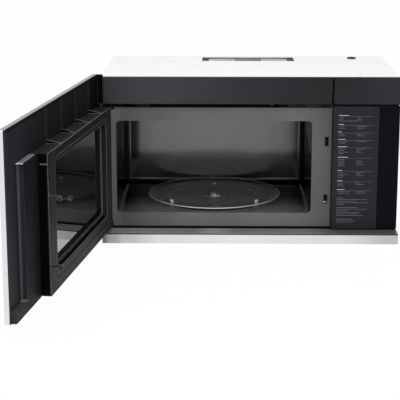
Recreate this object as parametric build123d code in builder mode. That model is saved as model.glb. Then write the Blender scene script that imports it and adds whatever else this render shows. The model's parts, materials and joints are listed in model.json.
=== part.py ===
from build123d import *
import os
from math import cos, radians, sin

# An over the range microwave, with its side-hinged door standing open.
# Millimetres. +Z is up and the front faces -Y. The origin is the middle of the case's underside.

# ---------------------------------------------------------------- case
case_width = 759.0
case_depth = 392.0
case_height = 426.0
sheet = 1.0
bend = 4.0
screw_radius = 1.8
screw_head_radius = 3.6
running_gap = 0.3

left_x = -case_width / 2
right_x = case_width / 2
front_y = -case_depth / 2
back_y = case_depth / 2

# ---------------------------------------------------------------- front face
plate_inset = 2.0
plate_bottom = 34.5
plate_top = 346.5
plate_return = 5.0
opening_inset = 35.6
opening_gap = 50.5
opening_bottom = 70.0
opening_height = 242.0
opening_top = opening_bottom + opening_height
opening_radius = 11.0

side_panel_width = 171.0
opening_left = left_x + opening_inset
opening_right = right_x - side_panel_width - opening_gap

trim_depth = 10.0
trim_wall = 2.0
trim_bottom = 357.0
trim_seam = 5.0
trim_corner = 1.5
side_panel_bottom = 28.5
side_panel_top = 353.5
side_panel_corner = 4.5
seam_x = right_x - side_panel_width
label_width = 116.0
label_margin = 2.0
label_thickness = 0.4

bezel_depth = 48.0
bezel_height = 28.0
bezel_wall = 2.0
bezel_corner = 3.0

# ---------------------------------------------------------------- oven cavity
cavity_wall = 1.0
cavity_side_gap = 1.0
cavity_floor = 64.5
cavity_roof = 314.0
cavity_depth = 375.0
cavity_corner = 12.0
cavity_flange = 10.0
cavity_left = opening_left - cavity_side_gap
cavity_right = opening_right + cavity_side_gap
cavity_front_y = front_y + sheet
cavity_back_y = front_y + cavity_depth

# ---------------------------------------------------------------- turntable
table_setback = 189.0
table_x = (opening_left + opening_right) / 2
table_y = front_y + table_setback
tray_radius = 180.0
tray_thickness = 5.0
tray_rim_height = 7.5
tray_rim_bevel = 1.5
tray_well_radius = 148.0
tray_bowl_radius = 90.0
roller_track = 132.0
roller_radius = 6.6
roller_width = 7.0
roller_chamfer = 1.0
roller_bore = 1.7
axle_gap = 0.05
dish_depth = 6.0
dish_radius = 150.0
ring_width = 8.0
ring_height = 5.0
hub_radius = 24.0
coupler_boss_radius = 6.0
coupler_height = 7.0
shaft_radius = 3.5
shaft_hole_radius = 9.0
turntable_motor_radius = 25.0
turntable_motor_height = 18.0

dish_floor = cavity_floor - dish_depth
roller_z = dish_floor + running_gap + roller_radius
tray_bottom = roller_z + roller_radius + running_gap
ring_radius = roller_track - roller_width / 2 - running_gap - ring_width / 2
roller_angles = {"roller_front_left": 210.0, "roller_front_right": 330.0, "roller_back": 90.0}

# ---------------------------------------------------------------- door
hinge_inset = 6.0
hinge_reach = 20.0
door_rest_angle = 98.43
door_front_reach = 48.0
door_face_gap = 2.0
door_bottom = 35.0
door_overlap = 7.4
door_top = case_height + door_overlap
skin_depth = 10.5
skin_wall = 2.0
glass_ledge = 4.0
front_glass_thickness = 3.2
front_glass_bevel = 0.5
panel_thickness = 2.5
frame_left = -5.0
frame_bottom = 36.5
frame_top = 351.0
frame_wall = 1.5
frame_face = 3.5
frame_corner = 3.0
window_left = 48.0
window_side = 58.0
window_bottom = 80.0
window_height = 242.0
window_radius = 12.0
window_ledge = 6.0
pane_recess = 15.0
pane_thickness = 3.0
screen_thickness = 0.6
choke_inner_margin = 10.0
choke_width = 18.0
choke_depth = 2.0
choke_gap = 0.2
gusset_count = 4
gusset_first = 96.0
gusset_pitch = 124.0
gusset_thickness = 3.0
gusset_height = 9.0
gusset_front_height = 2.0
rib_height = 3.0
rib_top_gap = 8.0
column_width = 108.0
column_depth = 12.0
column_top = 353.0
column_wall = 2.5
column_corner = 2.0
column_end_chamfer = 1.5
side_lug_z = 327.0
side_lug_height = 2.0
side_lug_reach = 4.0
side_lug_depth = 15.0
pocket_radius = 11.0
pocket_offset = 5.0
pocket_wall = 4.0
foot_width = 67.0
foot_margin = 6.0
foot_height = 25.0
return_wall_start = 358.0
return_wall_depth = 14.0
return_wall_chamfer = 2.0

pin_x = left_x + hinge_inset
pin_y = front_y - hinge_reach
door_outer = door_front_reach - hinge_reach
door_inner = door_face_gap - hinge_reach
skin_inner = door_outer - skin_depth
panel_inner = skin_inner - panel_thickness
window_top = window_bottom + window_height
frame_cavity = door_inner + frame_face
pane_inner = door_inner + pane_recess
column_inner = panel_inner - column_depth
door_left = -hinge_inset
door_right = case_width - hinge_inset
column_right = door_right - foot_margin - foot_width
column_left = column_right - column_width
frame_right = column_left
window_right = frame_right - window_side

# ---------------------------------------------------------------- hinges
bracket_thickness = 3.0
bracket_width = 14.0
bracket_flange = 32.0
pin_radius = 3.0
pin_gap = 0.05
pin_depth = 18.0
pin_shoulder_radius = 5.0
pin_end_gap = 1.0
arm_gap = 1.5
upper_arm_z = frame_top + arm_gap
lower_arm_z = bezel_height

# ---------------------------------------------------------------- latch
latch_slot_width = 10.0
latch_slot_height = 24.0
latch_inset = 8.0
latch_slot_x = pin_x + frame_right - latch_inset
latch_slot_centres = (107.5, 259.3)
hook_thickness = 4.0
hook_offset = 1.6
hook_drop = 2.5
hook_height = 7.0
hook_reach = 26.0
hook_head_radius = 6.0
hook_head_thickness = 6.0
hook_head_rise = 1.0
hook_head_taper = 25.0
latch_bar_overhang = 14.0
latch_travel = 4.0
latch_bar_depth = 8.0
spring_length = 24.0
spring_radius = 3.0
spring_wire = 0.9
spring_turns = 8
spring_seat = 2.0
spring_shift = 1.0

hook_left = latch_slot_x + hook_offset - pin_x
hook_right = hook_left + hook_thickness
latch_bar_bottom = latch_slot_centres[0] - hook_drop - latch_bar_overhang
latch_bar_top = latch_slot_centres[1] - hook_drop + latch_bar_overhang

# ---------------------------------------------------------------- underside
filter_gap = 15.0
power_bay = 84.5
front_bay = 165.0
filter_thickness = 9.0
filter_lip = 4.0
filter_setback = 85.0
filter_depth = case_depth - filter_setback - front_bay
filter_length = right_x - power_bay - filter_gap
filter_spread = filter_gap + filter_length / 2
filter_y = back_y - filter_setback - filter_depth / 2
lens_length = 70.0
lens_depth = 40.0
lens_thickness = 2.0
lens_flange = 3.0
lens_spread = 225.0
lens_setback = 45.0
lens_y = front_y + lens_setback
lamp_height = 18.0
lamp_taper = 8.0
pan_flange = 24.0
pan_lip_setback = 6.0
pan_lip_top = 40.0
pan_corner = 6.0

# ---------------------------------------------------------------- top and back
duct_length = 254.0
duct_depth = 83.0
duct_setback = 60.0
duct_y = back_y - duct_setback
bolt_spread = 560.0
bolt_radius = 3.6
bolt_setback = 40.0
bolt_y = front_y + bolt_setback
rim_width = 30.0
rim_step = 3.0
hang_slot_length = 40.0
hang_slot_width = 8.0
hang_slot_spread = 500.0
hang_slot_z = 60.0
wrapper_screw_heights = (60.0, 213.0, 366.0)
wrapper_screw_inset = 12.0
wrapper_screw_head = 1.8
grommet_radius = 12.0
grommet_bore = 5.0
grommet_hole = 9.0
grommet_height = 3.0
grommet_depth = 8.0
grommet_inset = 90.0
grommet_setback = 45.0
grommet_x = right_x - grommet_inset
grommet_y = back_y - grommet_setback


def front_plane(depth, x=0.0):
    """A plane facing forward, so that its own axes are X and Z, at a depth behind the case's face."""
    return Plane(origin=(x, front_y + depth, 0), x_dir=(1, 0, 0), z_dir=(0, -1, 0))


def fan_plane(y):
    """A plane across the cooling fan's axis, facing forward."""
    return Plane(origin=(fan_x, y, fan_z), x_dir=(1, 0, 0), z_dir=(0, -1, 0))


def side_plane(x):
    """A plane facing right, so that its own axes are Y and Z."""
    return Plane(origin=(x, 0, 0), x_dir=(0, 1, 0), z_dir=(1, 0, 0))


door_along = Vector(cos(radians(door_rest_angle)), -sin(radians(door_rest_angle)), 0)
door_outward = Vector(-sin(radians(door_rest_angle)), -cos(radians(door_rest_angle)), 0)
door_plan = Plane(origin=(pin_x, pin_y, 0), x_dir=door_along, z_dir=(0, 0, 1))
outward_axis = Axis((0, 0, 0), tuple(door_outward))


def door_face(outward):
    """A plane on the door, seen from its outer side: X runs from the hinge and Y is up."""
    origin = Vector(pin_x, pin_y, 0) + door_outward * outward
    return Plane(origin=origin, x_dir=door_along, z_dir=door_outward)


def door_section(along):
    """A plane across the door: X points out of its outer face and Y is up."""
    origin = Vector(pin_x, pin_y, 0) + door_along * along
    return Plane(origin=origin, x_dir=door_outward, z_dir=-door_along)


def rectangle(x0, x1, y0, y1, radius=0.0, mode=Mode.ADD):
    """A rectangle between two corners, with rounded corners if a radius is given."""
    with Locations(((x0 + x1) / 2, (y0 + y1) / 2)):
        if radius > 0:
            RectangleRounded(x1 - x0, y1 - y0, radius, mode=mode)
        else:
            Rectangle(x1 - x0, y1 - y0, mode=mode)


def block(low, high, mode=Mode.ADD):
    """A plain block between two corners of the current workplane."""
    with Locations(tuple(low)):
        Box(*(b - a for a, b in zip(low, high)), align=(Align.MIN, Align.MIN, Align.MIN), mode=mode)


def folded_strip(points, radius, thickness, side):
    """The closed outline of a folded sheet that follows an open run of points."""
    with BuildLine() as outline:
        FilletPolyline(*points, radius=radius)
        offset(amount=thickness, side=side)
    make_face(outline.edges())


def finish(piece, name):
    """Labels a piece and writes it."""
    piece.part.label = name
    export_step(piece.part, f"parts/{name}.step")


os.makedirs("parts", exist_ok=True)

# ================================================================ case
wrapper_foot = sheet
with BuildPart() as outer_wrapper:
    with BuildSketch(front_plane(0)):
        folded_strip(
            [(left_x, wrapper_foot), (left_x, case_height), (right_x, case_height), (right_x, wrapper_foot)],
            bend,
            sheet,
            Side.RIGHT,
        )
    extrude(amount=-case_depth)
    # The two rear edges turn in, over the rear panel's rims.
    for edge, inward in ((left_x, 1), (right_x, -1)):
        near = edge + inward * sheet
        far = edge + inward * (rim_width - bend * 2)
        block(
            (min(near, far), back_y - rim_step, wrapper_foot),
            (max(near, far), back_y - rim_step + sheet, case_height - bend),
        )
    with BuildSketch(Plane.XY.offset(case_height)):
        with Locations((0, duct_y)):
            Rectangle(duct_length, duct_depth)
        with Locations((0, bolt_y)):
            with GridLocations(bolt_spread, 0, 2, 1):
                Circle(bolt_radius)
        with Locations((grommet_x, grommet_y)):
            Circle(grommet_hole)
    extrude(amount=-bend, mode=Mode.SUBTRACT)
    with BuildSketch(front_plane(case_depth)):
        for height in wrapper_screw_heights:
            for edge, inward in ((left_x, 1), (right_x, -1)):
                with Locations((edge + inward * wrapper_screw_inset, height)):
                    Circle(screw_radius)
    extrude(amount=rim_step, mode=Mode.SUBTRACT)
finish(outer_wrapper, "outer_wrapper")

rim_y = back_y - rim_step
with BuildPart() as rear_panel:
    with BuildSketch(Plane.XY.offset(wrapper_foot)):
        folded_strip(
            [
                (left_x + sheet, rim_y),
                (left_x + rim_width, rim_y),
                (left_x + rim_width + rim_step, back_y),
                (right_x - rim_width - rim_step, back_y),
                (right_x - rim_width, rim_y),
                (right_x - sheet, rim_y),
            ],
            sheet,
            sheet,
            Side.RIGHT,
        )
    extrude(amount=case_height - bend - wrapper_foot)
    with BuildSketch(front_plane(case_depth)):
        with Locations((0, hang_slot_z)):
            with GridLocations(hang_slot_spread, 0, 2, 1):
                SlotOverall(hang_slot_length, hang_slot_width)
    extrude(amount=sheet * 2, mode=Mode.SUBTRACT)
    with BuildSketch(front_plane(case_depth)):
        for height in wrapper_screw_heights:
            for edge, inward in ((left_x, 1), (right_x, -1)):
                with Locations((edge + inward * wrapper_screw_inset, height)):
                    Circle(screw_radius)
    extrude(amount=rim_step + sheet * 2, mode=Mode.SUBTRACT)
finish(rear_panel, "rear_panel")

with BuildPart() as wrapper_screws:
    with BuildSketch(front_plane(case_depth - rim_step + sheet)):
        for height in wrapper_screw_heights:
            for edge, inward in ((left_x, 1), (right_x, -1)):
                with Locations((edge + inward * wrapper_screw_inset, height)):
                    Circle(screw_head_radius)
    extrude(amount=-wrapper_screw_head)
    with BuildSketch(front_plane(case_depth - rim_step + sheet)):
        for height in wrapper_screw_heights:
            for edge, inward in ((left_x, 1), (right_x, -1)):
                with Locations((edge + inward * wrapper_screw_inset, height)):
                    Circle(screw_radius - axle_gap)
    extrude(amount=sheet * 6)
finish(wrapper_screws, "wrapper_screws")

pan_left = left_x + sheet
pan_right = right_x - sheet
pan_back = rim_y - sheet
with BuildPart() as base_pan:
    with BuildSketch(front_plane(0)):
        folded_strip(
            [(pan_left, pan_flange), (pan_left, 0), (pan_right, 0), (pan_right, pan_flange)],
            bend / 2,
            sheet,
            Side.LEFT,
        )
    extrude(amount=-(pan_back - front_y))
    block(
        (pan_left + bend, front_y + pan_lip_setback, sheet),
        (pan_right - bend, front_y + pan_lip_setback + sheet, pan_lip_top),
    )
    with BuildSketch(Plane.XY):
        with Locations((0, filter_y)):
            with GridLocations(filter_spread * 2, 0, 2, 1):
                RectangleRounded(filter_length - filter_lip * 2, filter_depth - filter_lip * 2, pan_corner)
        with Locations((0, lens_y)):
            with GridLocations(lens_spread * 2, 0, 2, 1):
                RectangleRounded(lens_length, lens_depth, pan_corner / 2)
    extrude(amount=sheet, mode=Mode.SUBTRACT)
finish(base_pan, "base_pan")


def make_grease_filter(centre_x, name):
    """A mesh filter in a folded aluminium frame, with a crimped rim and a stiffening cross."""
    inner_length = filter_length - filter_lip * 3
    inner_depth = filter_depth - filter_lip * 3
    mesh_thickness = filter_thickness / 3
    with BuildPart() as grease_filter:
        with BuildSketch(Plane.XY.offset(sheet)):
            with Locations((centre_x, filter_y)):
                RectangleRounded(filter_length, filter_depth, pan_corner)
                RectangleRounded(inner_length, inner_depth, pan_corner, mode=Mode.SUBTRACT)
                Rectangle(inner_length, filter_lip)
        extrude(amount=filter_thickness)
        with BuildSketch(Plane.XY.offset(sheet + mesh_thickness)):
            with Locations((centre_x, filter_y)):
                RectangleRounded(inner_length + filter_lip, inner_depth + filter_lip, pan_corner)
        extrude(amount=mesh_thickness)
    finish(grease_filter, name)


make_grease_filter(-filter_spread, "grease_filter_left")
make_grease_filter(filter_spread, "grease_filter_right")

with BuildPart() as lamp_lenses:
    with BuildSketch(Plane.XY):
        with Locations((0, lens_y)):
            with GridLocations(lens_spread * 2, 0, 2, 1):
                RectangleRounded(lens_length - axle_gap * 2, lens_depth - axle_gap * 2, pan_corner / 2)
    extrude(amount=sheet)
    with BuildSketch(Plane.XY.offset(sheet)):
        with Locations((0, lens_y)):
            with GridLocations(lens_spread * 2, 0, 2, 1):
                RectangleRounded(lens_length + lens_flange * 2, lens_depth + lens_flange * 2, pan_corner)
    extrude(amount=lens_thickness)
finish(lamp_lenses, "lamp_lenses")

lamp_bottom = sheet + lens_thickness
with BuildPart() as cooktop_lamps:
    with BuildSketch(Plane.XY.offset(lamp_bottom)):
        with Locations((0, lens_y)):
            with GridLocations(lens_spread * 2, 0, 2, 1):
                RectangleRounded(lens_length, lens_depth, pan_corner / 2)
    extrude(amount=lamp_height, taper=lamp_taper)
finish(cooktop_lamps, "cooktop_lamps")

# ================================================================ front
bracket_left = pin_x - bracket_width / 2
bracket_right = pin_x + bracket_width / 2
hinge_screw_start = 14.0
hinge_screw_pitch = 12.0
hinge_screw_x = pin_x + bracket_width / 4
hinge_screw_points = []
for step in range(2):
    climb = hinge_screw_start + step * hinge_screw_pitch
    hinge_screw_points.append((hinge_screw_x, lower_arm_z + climb))
    hinge_screw_points.append((hinge_screw_x, upper_arm_z - climb))
countersink_radius = screw_radius + sheet
return_inset = 30.0
return_left = left_x + return_inset
return_right = right_x - return_inset
with BuildPart() as front_plate:
    with BuildSketch(front_plane(0)):
        rectangle(left_x + plate_inset, right_x - plate_inset, plate_bottom, plate_top)
        rectangle(opening_left, opening_right, opening_bottom, opening_top, opening_radius, Mode.SUBTRACT)
        for centre in latch_slot_centres:
            rectangle(
                latch_slot_x,
                latch_slot_x + latch_slot_width,
                centre - latch_slot_height / 2,
                centre + latch_slot_height / 2,
                latch_slot_width / 6,
                mode=Mode.SUBTRACT,
            )
    extrude(amount=-sheet)
    for low, high in ((plate_bottom, plate_bottom + sheet), (plate_top - sheet, plate_top)):
        block((return_left, front_y + sheet, low), (return_right, front_y + plate_return, high))
    for x, z in hinge_screw_points:
        with Locations(front_plane(0).location * Location((x, z, 0))):
            CounterSinkHole(screw_radius, countersink_radius, depth=sheet * 2, counter_sink_angle=90)
finish(front_plate, "front_plate")

with BuildPart() as hinge_screws:
    for x, z in hinge_screw_points:
        head = screw_radius + sheet - axle_gap
        shank = screw_radius - axle_gap
        with BuildSketch(Plane(origin=(x, front_y, z), x_dir=(1, 0, 0), z_dir=(0, 0, 1))):
            with BuildLine():
                Polyline(
                    (0, 0),
                    (head, 0),
                    (shank, sheet),
                    (shank, sheet + bracket_thickness + sheet),
                    (0, sheet + bracket_thickness + sheet),
                    close=True,
                )
            make_face()
        revolve(axis=Axis((x, front_y, z), (0, 1, 0)))
finish(hinge_screws, "hinge_screws")


def make_hinge_bracket(arm_z, upward, name):
    """A steel bracket: an arm that holds the hinge pin, and a flange behind the front plate."""
    flange_near = arm_z if upward else arm_z + bracket_thickness
    flange_far = flange_near + (bracket_flange if upward else -bracket_flange)
    flange_y = front_y + sheet
    flange_left = max(bracket_left, left_x + plate_inset)
    with BuildPart() as bracket:
        with BuildSketch(Plane.XY.offset(arm_z)):
            with Locations((pin_x, pin_y)):
                Circle(bracket_width / 2)
            rectangle(bracket_left, bracket_right, pin_y, front_y)
            rectangle(flange_left, bracket_right, front_y - sheet, flange_y + bracket_thickness)
            with Locations((pin_x, pin_y)):
                Circle(pin_radius + pin_gap, mode=Mode.SUBTRACT)
        extrude(amount=bracket_thickness)
        block(
            (flange_left, flange_y, min(flange_near, flange_far)),
            (bracket_right, flange_y + bracket_thickness, max(flange_near, flange_far)),
        )
        for x, z in hinge_screw_points:
            if min(flange_near, flange_far) < z < max(flange_near, flange_far):
                with Locations(front_plane(0).location * Location((x, z, 0))):
                    Hole(screw_radius, depth=bracket_thickness * 2)
    finish(bracket, name)


make_hinge_bracket(upper_arm_z, False, "hinge_bracket_upper")
make_hinge_bracket(lower_arm_z, True, "hinge_bracket_lower")


def make_cover(x0, x1, z0, z1, depth, wall, corner, name):
    """A moulded cover: a shallow tray open at its back, with rounded front edges."""
    with BuildPart() as cover:
        block((x0, front_y - depth, z0), (x1, front_y, z1))
        fillet(cover.faces().sort_by(Axis.Y)[0].edges(), corner)
        offset(amount=-wall, openings=cover.faces().sort_by(Axis.Y)[-1])
    finish(cover, name)


for trim_left, trim_right, trim_name in (
    (left_x, seam_x - trim_seam / 2, "top_trim_left"),
    (seam_x + trim_seam / 2, right_x, "top_trim_right"),
):
    make_cover(trim_left, trim_right, trim_bottom, case_height, trim_depth, trim_wall, trim_corner, trim_name)
make_cover(left_x, right_x, 0, bezel_height, bezel_depth, bezel_wall, bezel_corner / 2, "bottom_bezel")

with BuildPart() as side_panel:
    with BuildSketch(front_plane(0)):
        rectangle(seam_x, right_x, side_panel_bottom, side_panel_top, side_panel_corner)
    extrude(amount=trim_depth)
    fillet(side_panel.faces().sort_by(Axis.Y)[0].edges(), trim_corner)
    offset(amount=-trim_wall, openings=side_panel.faces().sort_by(Axis.Y)[-1])
finish(side_panel, "side_panel")

with BuildPart() as guide_label:
    with BuildSketch(front_plane(-trim_depth)):
        rectangle(
            seam_x + label_margin,
            seam_x + label_margin + label_width,
            side_panel_bottom + label_margin,
            side_panel_top - label_margin,
            label_margin,
        )
    extrude(amount=label_thickness)
finish(guide_label, "guide_label")

# ================================================================ oven cavity
waveguide_port_setback = 195.0
waveguide_port_y = front_y + waveguide_port_setback
waveguide_port_z = 205.0
waveguide_port_length = 84.0
waveguide_port_height = 38.0
lamp_hole_radius = 11.0
lamp_box_width = 33.0
lamp_box_corner = 3.0
cavity_lamp_inset = 60.0
cavity_lamp_setback = 150.0
cavity_lamp_x = cavity_left + cavity_lamp_inset
cavity_lamp_y = front_y + cavity_lamp_setback
with BuildPart() as cavity_shell:
    with BuildSketch(front_plane(sheet)):
        rectangle(
            cavity_left - cavity_wall,
            cavity_right + cavity_wall,
            cavity_floor - cavity_wall,
            cavity_roof + cavity_wall,
            cavity_corner + cavity_wall,
        )
    extrude(amount=-(cavity_depth - sheet + cavity_wall))
    fillet(cavity_shell.faces().sort_by(Axis.Y)[-1].edges(), cavity_corner)
    offset(amount=-cavity_wall, openings=cavity_shell.faces().sort_by(Axis.Y)[0])
    with BuildSketch(front_plane(sheet)):
        rectangle(
            cavity_left - cavity_flange,
            cavity_right + cavity_flange,
            cavity_floor - cavity_flange,
            cavity_roof + cavity_flange,
            cavity_corner + cavity_flange,
        )
        rectangle(cavity_left, cavity_right, cavity_floor, cavity_roof, cavity_corner, mode=Mode.SUBTRACT)
    extrude(amount=-cavity_wall)
    with BuildSketch(Plane.XY.offset(dish_floor - cavity_wall)):
        with Locations((table_x, table_y)):
            Circle(dish_radius + cavity_wall)
    extrude(amount=dish_depth)
    with BuildSketch(Plane.XY.offset(dish_floor)):
        with Locations((table_x, table_y)):
            Circle(dish_radius)
    extrude(amount=dish_depth, mode=Mode.SUBTRACT)
    with Locations((table_x, table_y, dish_floor)):
        Hole(shaft_hole_radius, depth=cavity_wall * 2)
    with BuildSketch(side_plane(cavity_right)):
        with Locations((waveguide_port_y, waveguide_port_z)):
            Rectangle(waveguide_port_length, waveguide_port_height)
    extrude(amount=cavity_wall, mode=Mode.SUBTRACT)
    with Locations((cavity_lamp_x, cavity_lamp_y, cavity_roof + cavity_wall)):
        Hole(lamp_hole_radius, depth=cavity_wall * 2)
finish(cavity_shell, "cavity_shell")

cover_overlap = 8.0
cover_thickness = 0.6
with BuildPart() as waveguide_cover:
    with BuildSketch(side_plane(cavity_right)):
        with Locations((waveguide_port_y, waveguide_port_z)):
            RectangleRounded(
                waveguide_port_length + cover_overlap * 2,
                waveguide_port_height + cover_overlap * 2,
                cover_overlap / 2,
            )
    extrude(amount=-cover_thickness)
finish(waveguide_cover, "waveguide_cover")

with BuildPart() as cavity_lamp:
    with BuildSketch(Plane.XY.offset(cavity_roof + cavity_wall)):
        with Locations((cavity_lamp_x, cavity_lamp_y)):
            RectangleRounded(lamp_box_width, lamp_box_width, lamp_box_corner)
    extrude(amount=lamp_height)
    with BuildSketch(Plane.XY.offset(cavity_roof)):
        with Locations((cavity_lamp_x, cavity_lamp_y)):
            Circle(lamp_hole_radius - running_gap)
    extrude(amount=cavity_wall)
finish(cavity_lamp, "cavity_lamp")

# ================================================================ turntable
table_plane = Plane(origin=(table_x, table_y, 0), x_dir=(1, 0, 0), z_dir=(0, -1, 0))
table_axis = Axis((table_x, table_y, 0), (0, 0, 1))
axle_end_radius = roller_track + roller_width
with BuildPart() as glass_tray:
    with BuildSketch(table_plane):
        with BuildLine():
            rim_top = tray_bottom + tray_rim_height
            floor_top = tray_bottom + tray_thickness
            floor_edge = (tray_well_radius - tray_thickness * 2, floor_top)
            foot_edge = (tray_well_radius, tray_bottom)
            rim_outer = (tray_radius, rim_top - tray_rim_bevel)
            rim_inner = (tray_radius - tray_thickness, rim_top)
            Polyline(floor_edge, (0, floor_top), (0, tray_bottom), foot_edge)
            RadiusArc(foot_edge, rim_outer, -tray_bowl_radius)
            Polyline(rim_outer, (tray_radius - tray_rim_bevel, rim_top), rim_inner)
            RadiusArc(rim_inner, floor_edge, tray_bowl_radius)
        make_face()
    revolve(axis=table_axis)
finish(glass_tray, "glass_tray")

ring_bottom = roller_z - ring_height / 2
with BuildPart() as roller_ring:
    with BuildSketch(Plane.XY.offset(ring_bottom)):
        with Locations((table_x, table_y)):
            Circle(ring_radius + ring_width / 2)
            Circle(ring_radius - ring_width / 2, mode=Mode.SUBTRACT)
            Circle(hub_radius + ring_width)
            Circle(hub_radius, mode=Mode.SUBTRACT)
            with PolarLocations((ring_radius + hub_radius) / 2 + ring_width / 4, 3, start_angle=30):
                Rectangle(ring_radius - hub_radius - ring_width / 2, ring_width)
    extrude(amount=ring_height)
    for angle in roller_angles.values():
        axle_start = ring_radius + ring_width / 4
        spoke = Plane(
            origin=(table_x, table_y, roller_z),
            x_dir=(0, 0, 1),
            z_dir=(cos(radians(angle)), sin(radians(angle)), 0),
        )
        with BuildSketch(spoke.offset(axle_start)):
            Circle(roller_bore)
        extrude(amount=axle_end_radius - axle_start)
finish(roller_ring, "roller_ring")


def make_roller(angle, name):
    """A small wheel with chamfered rims, on a spoke of the roller ring."""
    axis_direction = (cos(radians(angle)), sin(radians(angle)), 0)
    centre = (
        table_x + roller_track * axis_direction[0],
        table_y + roller_track * axis_direction[1],
        roller_z,
    )
    with BuildPart() as roller:
        across = (-axis_direction[1], axis_direction[0], 0)
        with BuildSketch(Plane(origin=centre, x_dir=axis_direction, z_dir=across)):
            with BuildLine():
                half = roller_width / 2
                bore = roller_bore + axle_gap
                edge = roller_radius - roller_chamfer
                tread = half - roller_chamfer
                Polyline(
                    (-half, bore),
                    (half, bore),
                    (half, edge),
                    (tread, roller_radius),
                    (-tread, roller_radius),
                    (-half, edge),
                    close=True,
                )
            make_face()
        revolve(axis=Axis(centre, axis_direction))
    finish(roller, name)


for roller_name, roller_angle in roller_angles.items():
    make_roller(roller_angle, roller_name)

motor_top = dish_floor - cavity_wall
motor_ear_reach = 6.0
motor_ear_spread = (turntable_motor_radius + motor_ear_reach) * 2
motor_ear_radius = 4.6
motor_floor = 2.0
coupler_bottom = dish_floor + running_gap * 4
coupler_top = coupler_bottom + coupler_height
lobe_width = 8.0
lobe_length = 17.0
shaft_bottom = motor_top - turntable_motor_height / 2
with BuildPart() as drive_coupler:
    with BuildSketch(Plane.XY.offset(coupler_bottom)):
        with Locations((table_x, table_y)):
            Circle(lobe_width)
            with PolarLocations(lobe_width, 3):
                SlotOverall(lobe_length, lobe_width)
    extrude(amount=coupler_height)
    with BuildSketch(Plane.XY.offset(coupler_top)):
        with Locations((table_x, table_y)):
            Circle(coupler_boss_radius)
    extrude(amount=tray_bottom - running_gap - coupler_top)
    with BuildSketch(Plane.XY.offset(shaft_bottom)):
        with Locations((table_x, table_y)):
            Circle(shaft_radius)
    extrude(amount=coupler_bottom - shaft_bottom)
finish(drive_coupler, "drive_coupler")

with BuildPart() as turntable_motor:
    with BuildSketch(Plane.XY.offset(motor_top - turntable_motor_height)):
        with Locations((table_x, table_y)):
            Circle(turntable_motor_radius)
            with GridLocations(motor_ear_spread, 0, 2, 1):
                Circle(motor_ear_radius)
            Rectangle(motor_ear_spread, motor_ear_radius * 2)
    extrude(amount=turntable_motor_height)
    with Locations((table_x, table_y, motor_top)):
        Hole(shaft_radius + axle_gap, depth=turntable_motor_height - motor_floor)
finish(turntable_motor, "turntable_motor")

# ================================================================ door
boss_radius = 4.5
pin_block_width = 10.0
screw_side_inset = 24.0
screw_end_inset = 20.0
screw_top_inset = 14.0
screw_end_gap = 3.0
window_middle = (window_left + window_right) / 2
door_screw_points = [
    (window_middle, frame_bottom + screw_end_inset),
    (window_middle, frame_top - screw_top_inset),
]
for along in (frame_left + screw_side_inset, frame_right - screw_side_inset):
    for height in (frame_bottom + screw_end_inset, frame_top - screw_end_inset):
        door_screw_points.append((along, height))


def door_outline(inset, radius=0.0, mode=Mode.ADD):
    """The door's outline, drawn in by an inset."""
    rectangle(door_left + inset, door_right - inset, door_bottom + inset, door_top - inset, radius, mode)


def window_outline(margin, mode=Mode.ADD):
    """The window's outline, grown by a margin, with its corners kept concentric."""
    rectangle(
        window_left - margin,
        window_right + margin,
        window_bottom - margin,
        window_top + margin,
        window_radius + max(margin, 0.0),
        mode,
    )


with BuildPart() as door_skin:
    with BuildSketch(door_face(skin_inner)):
        door_outline(0.0, skin_wall / 2)
        door_outline(skin_wall, mode=Mode.SUBTRACT)
    extrude(amount=skin_depth)
    with BuildSketch(door_face(door_outer - front_glass_thickness)):
        door_outline(skin_wall / 2)
        door_outline(skin_wall + glass_ledge, mode=Mode.SUBTRACT)
    extrude(amount=-skin_wall)
finish(door_skin, "door_skin")

with BuildPart() as door_front_glass:
    with BuildSketch(door_face(door_outer - front_glass_thickness)):
        door_outline(skin_wall)
    extrude(amount=front_glass_thickness)
    chamfer(door_front_glass.faces().sort_by(outward_axis)[-1].edges(), front_glass_bevel)
finish(door_front_glass, "door_front_glass")

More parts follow.
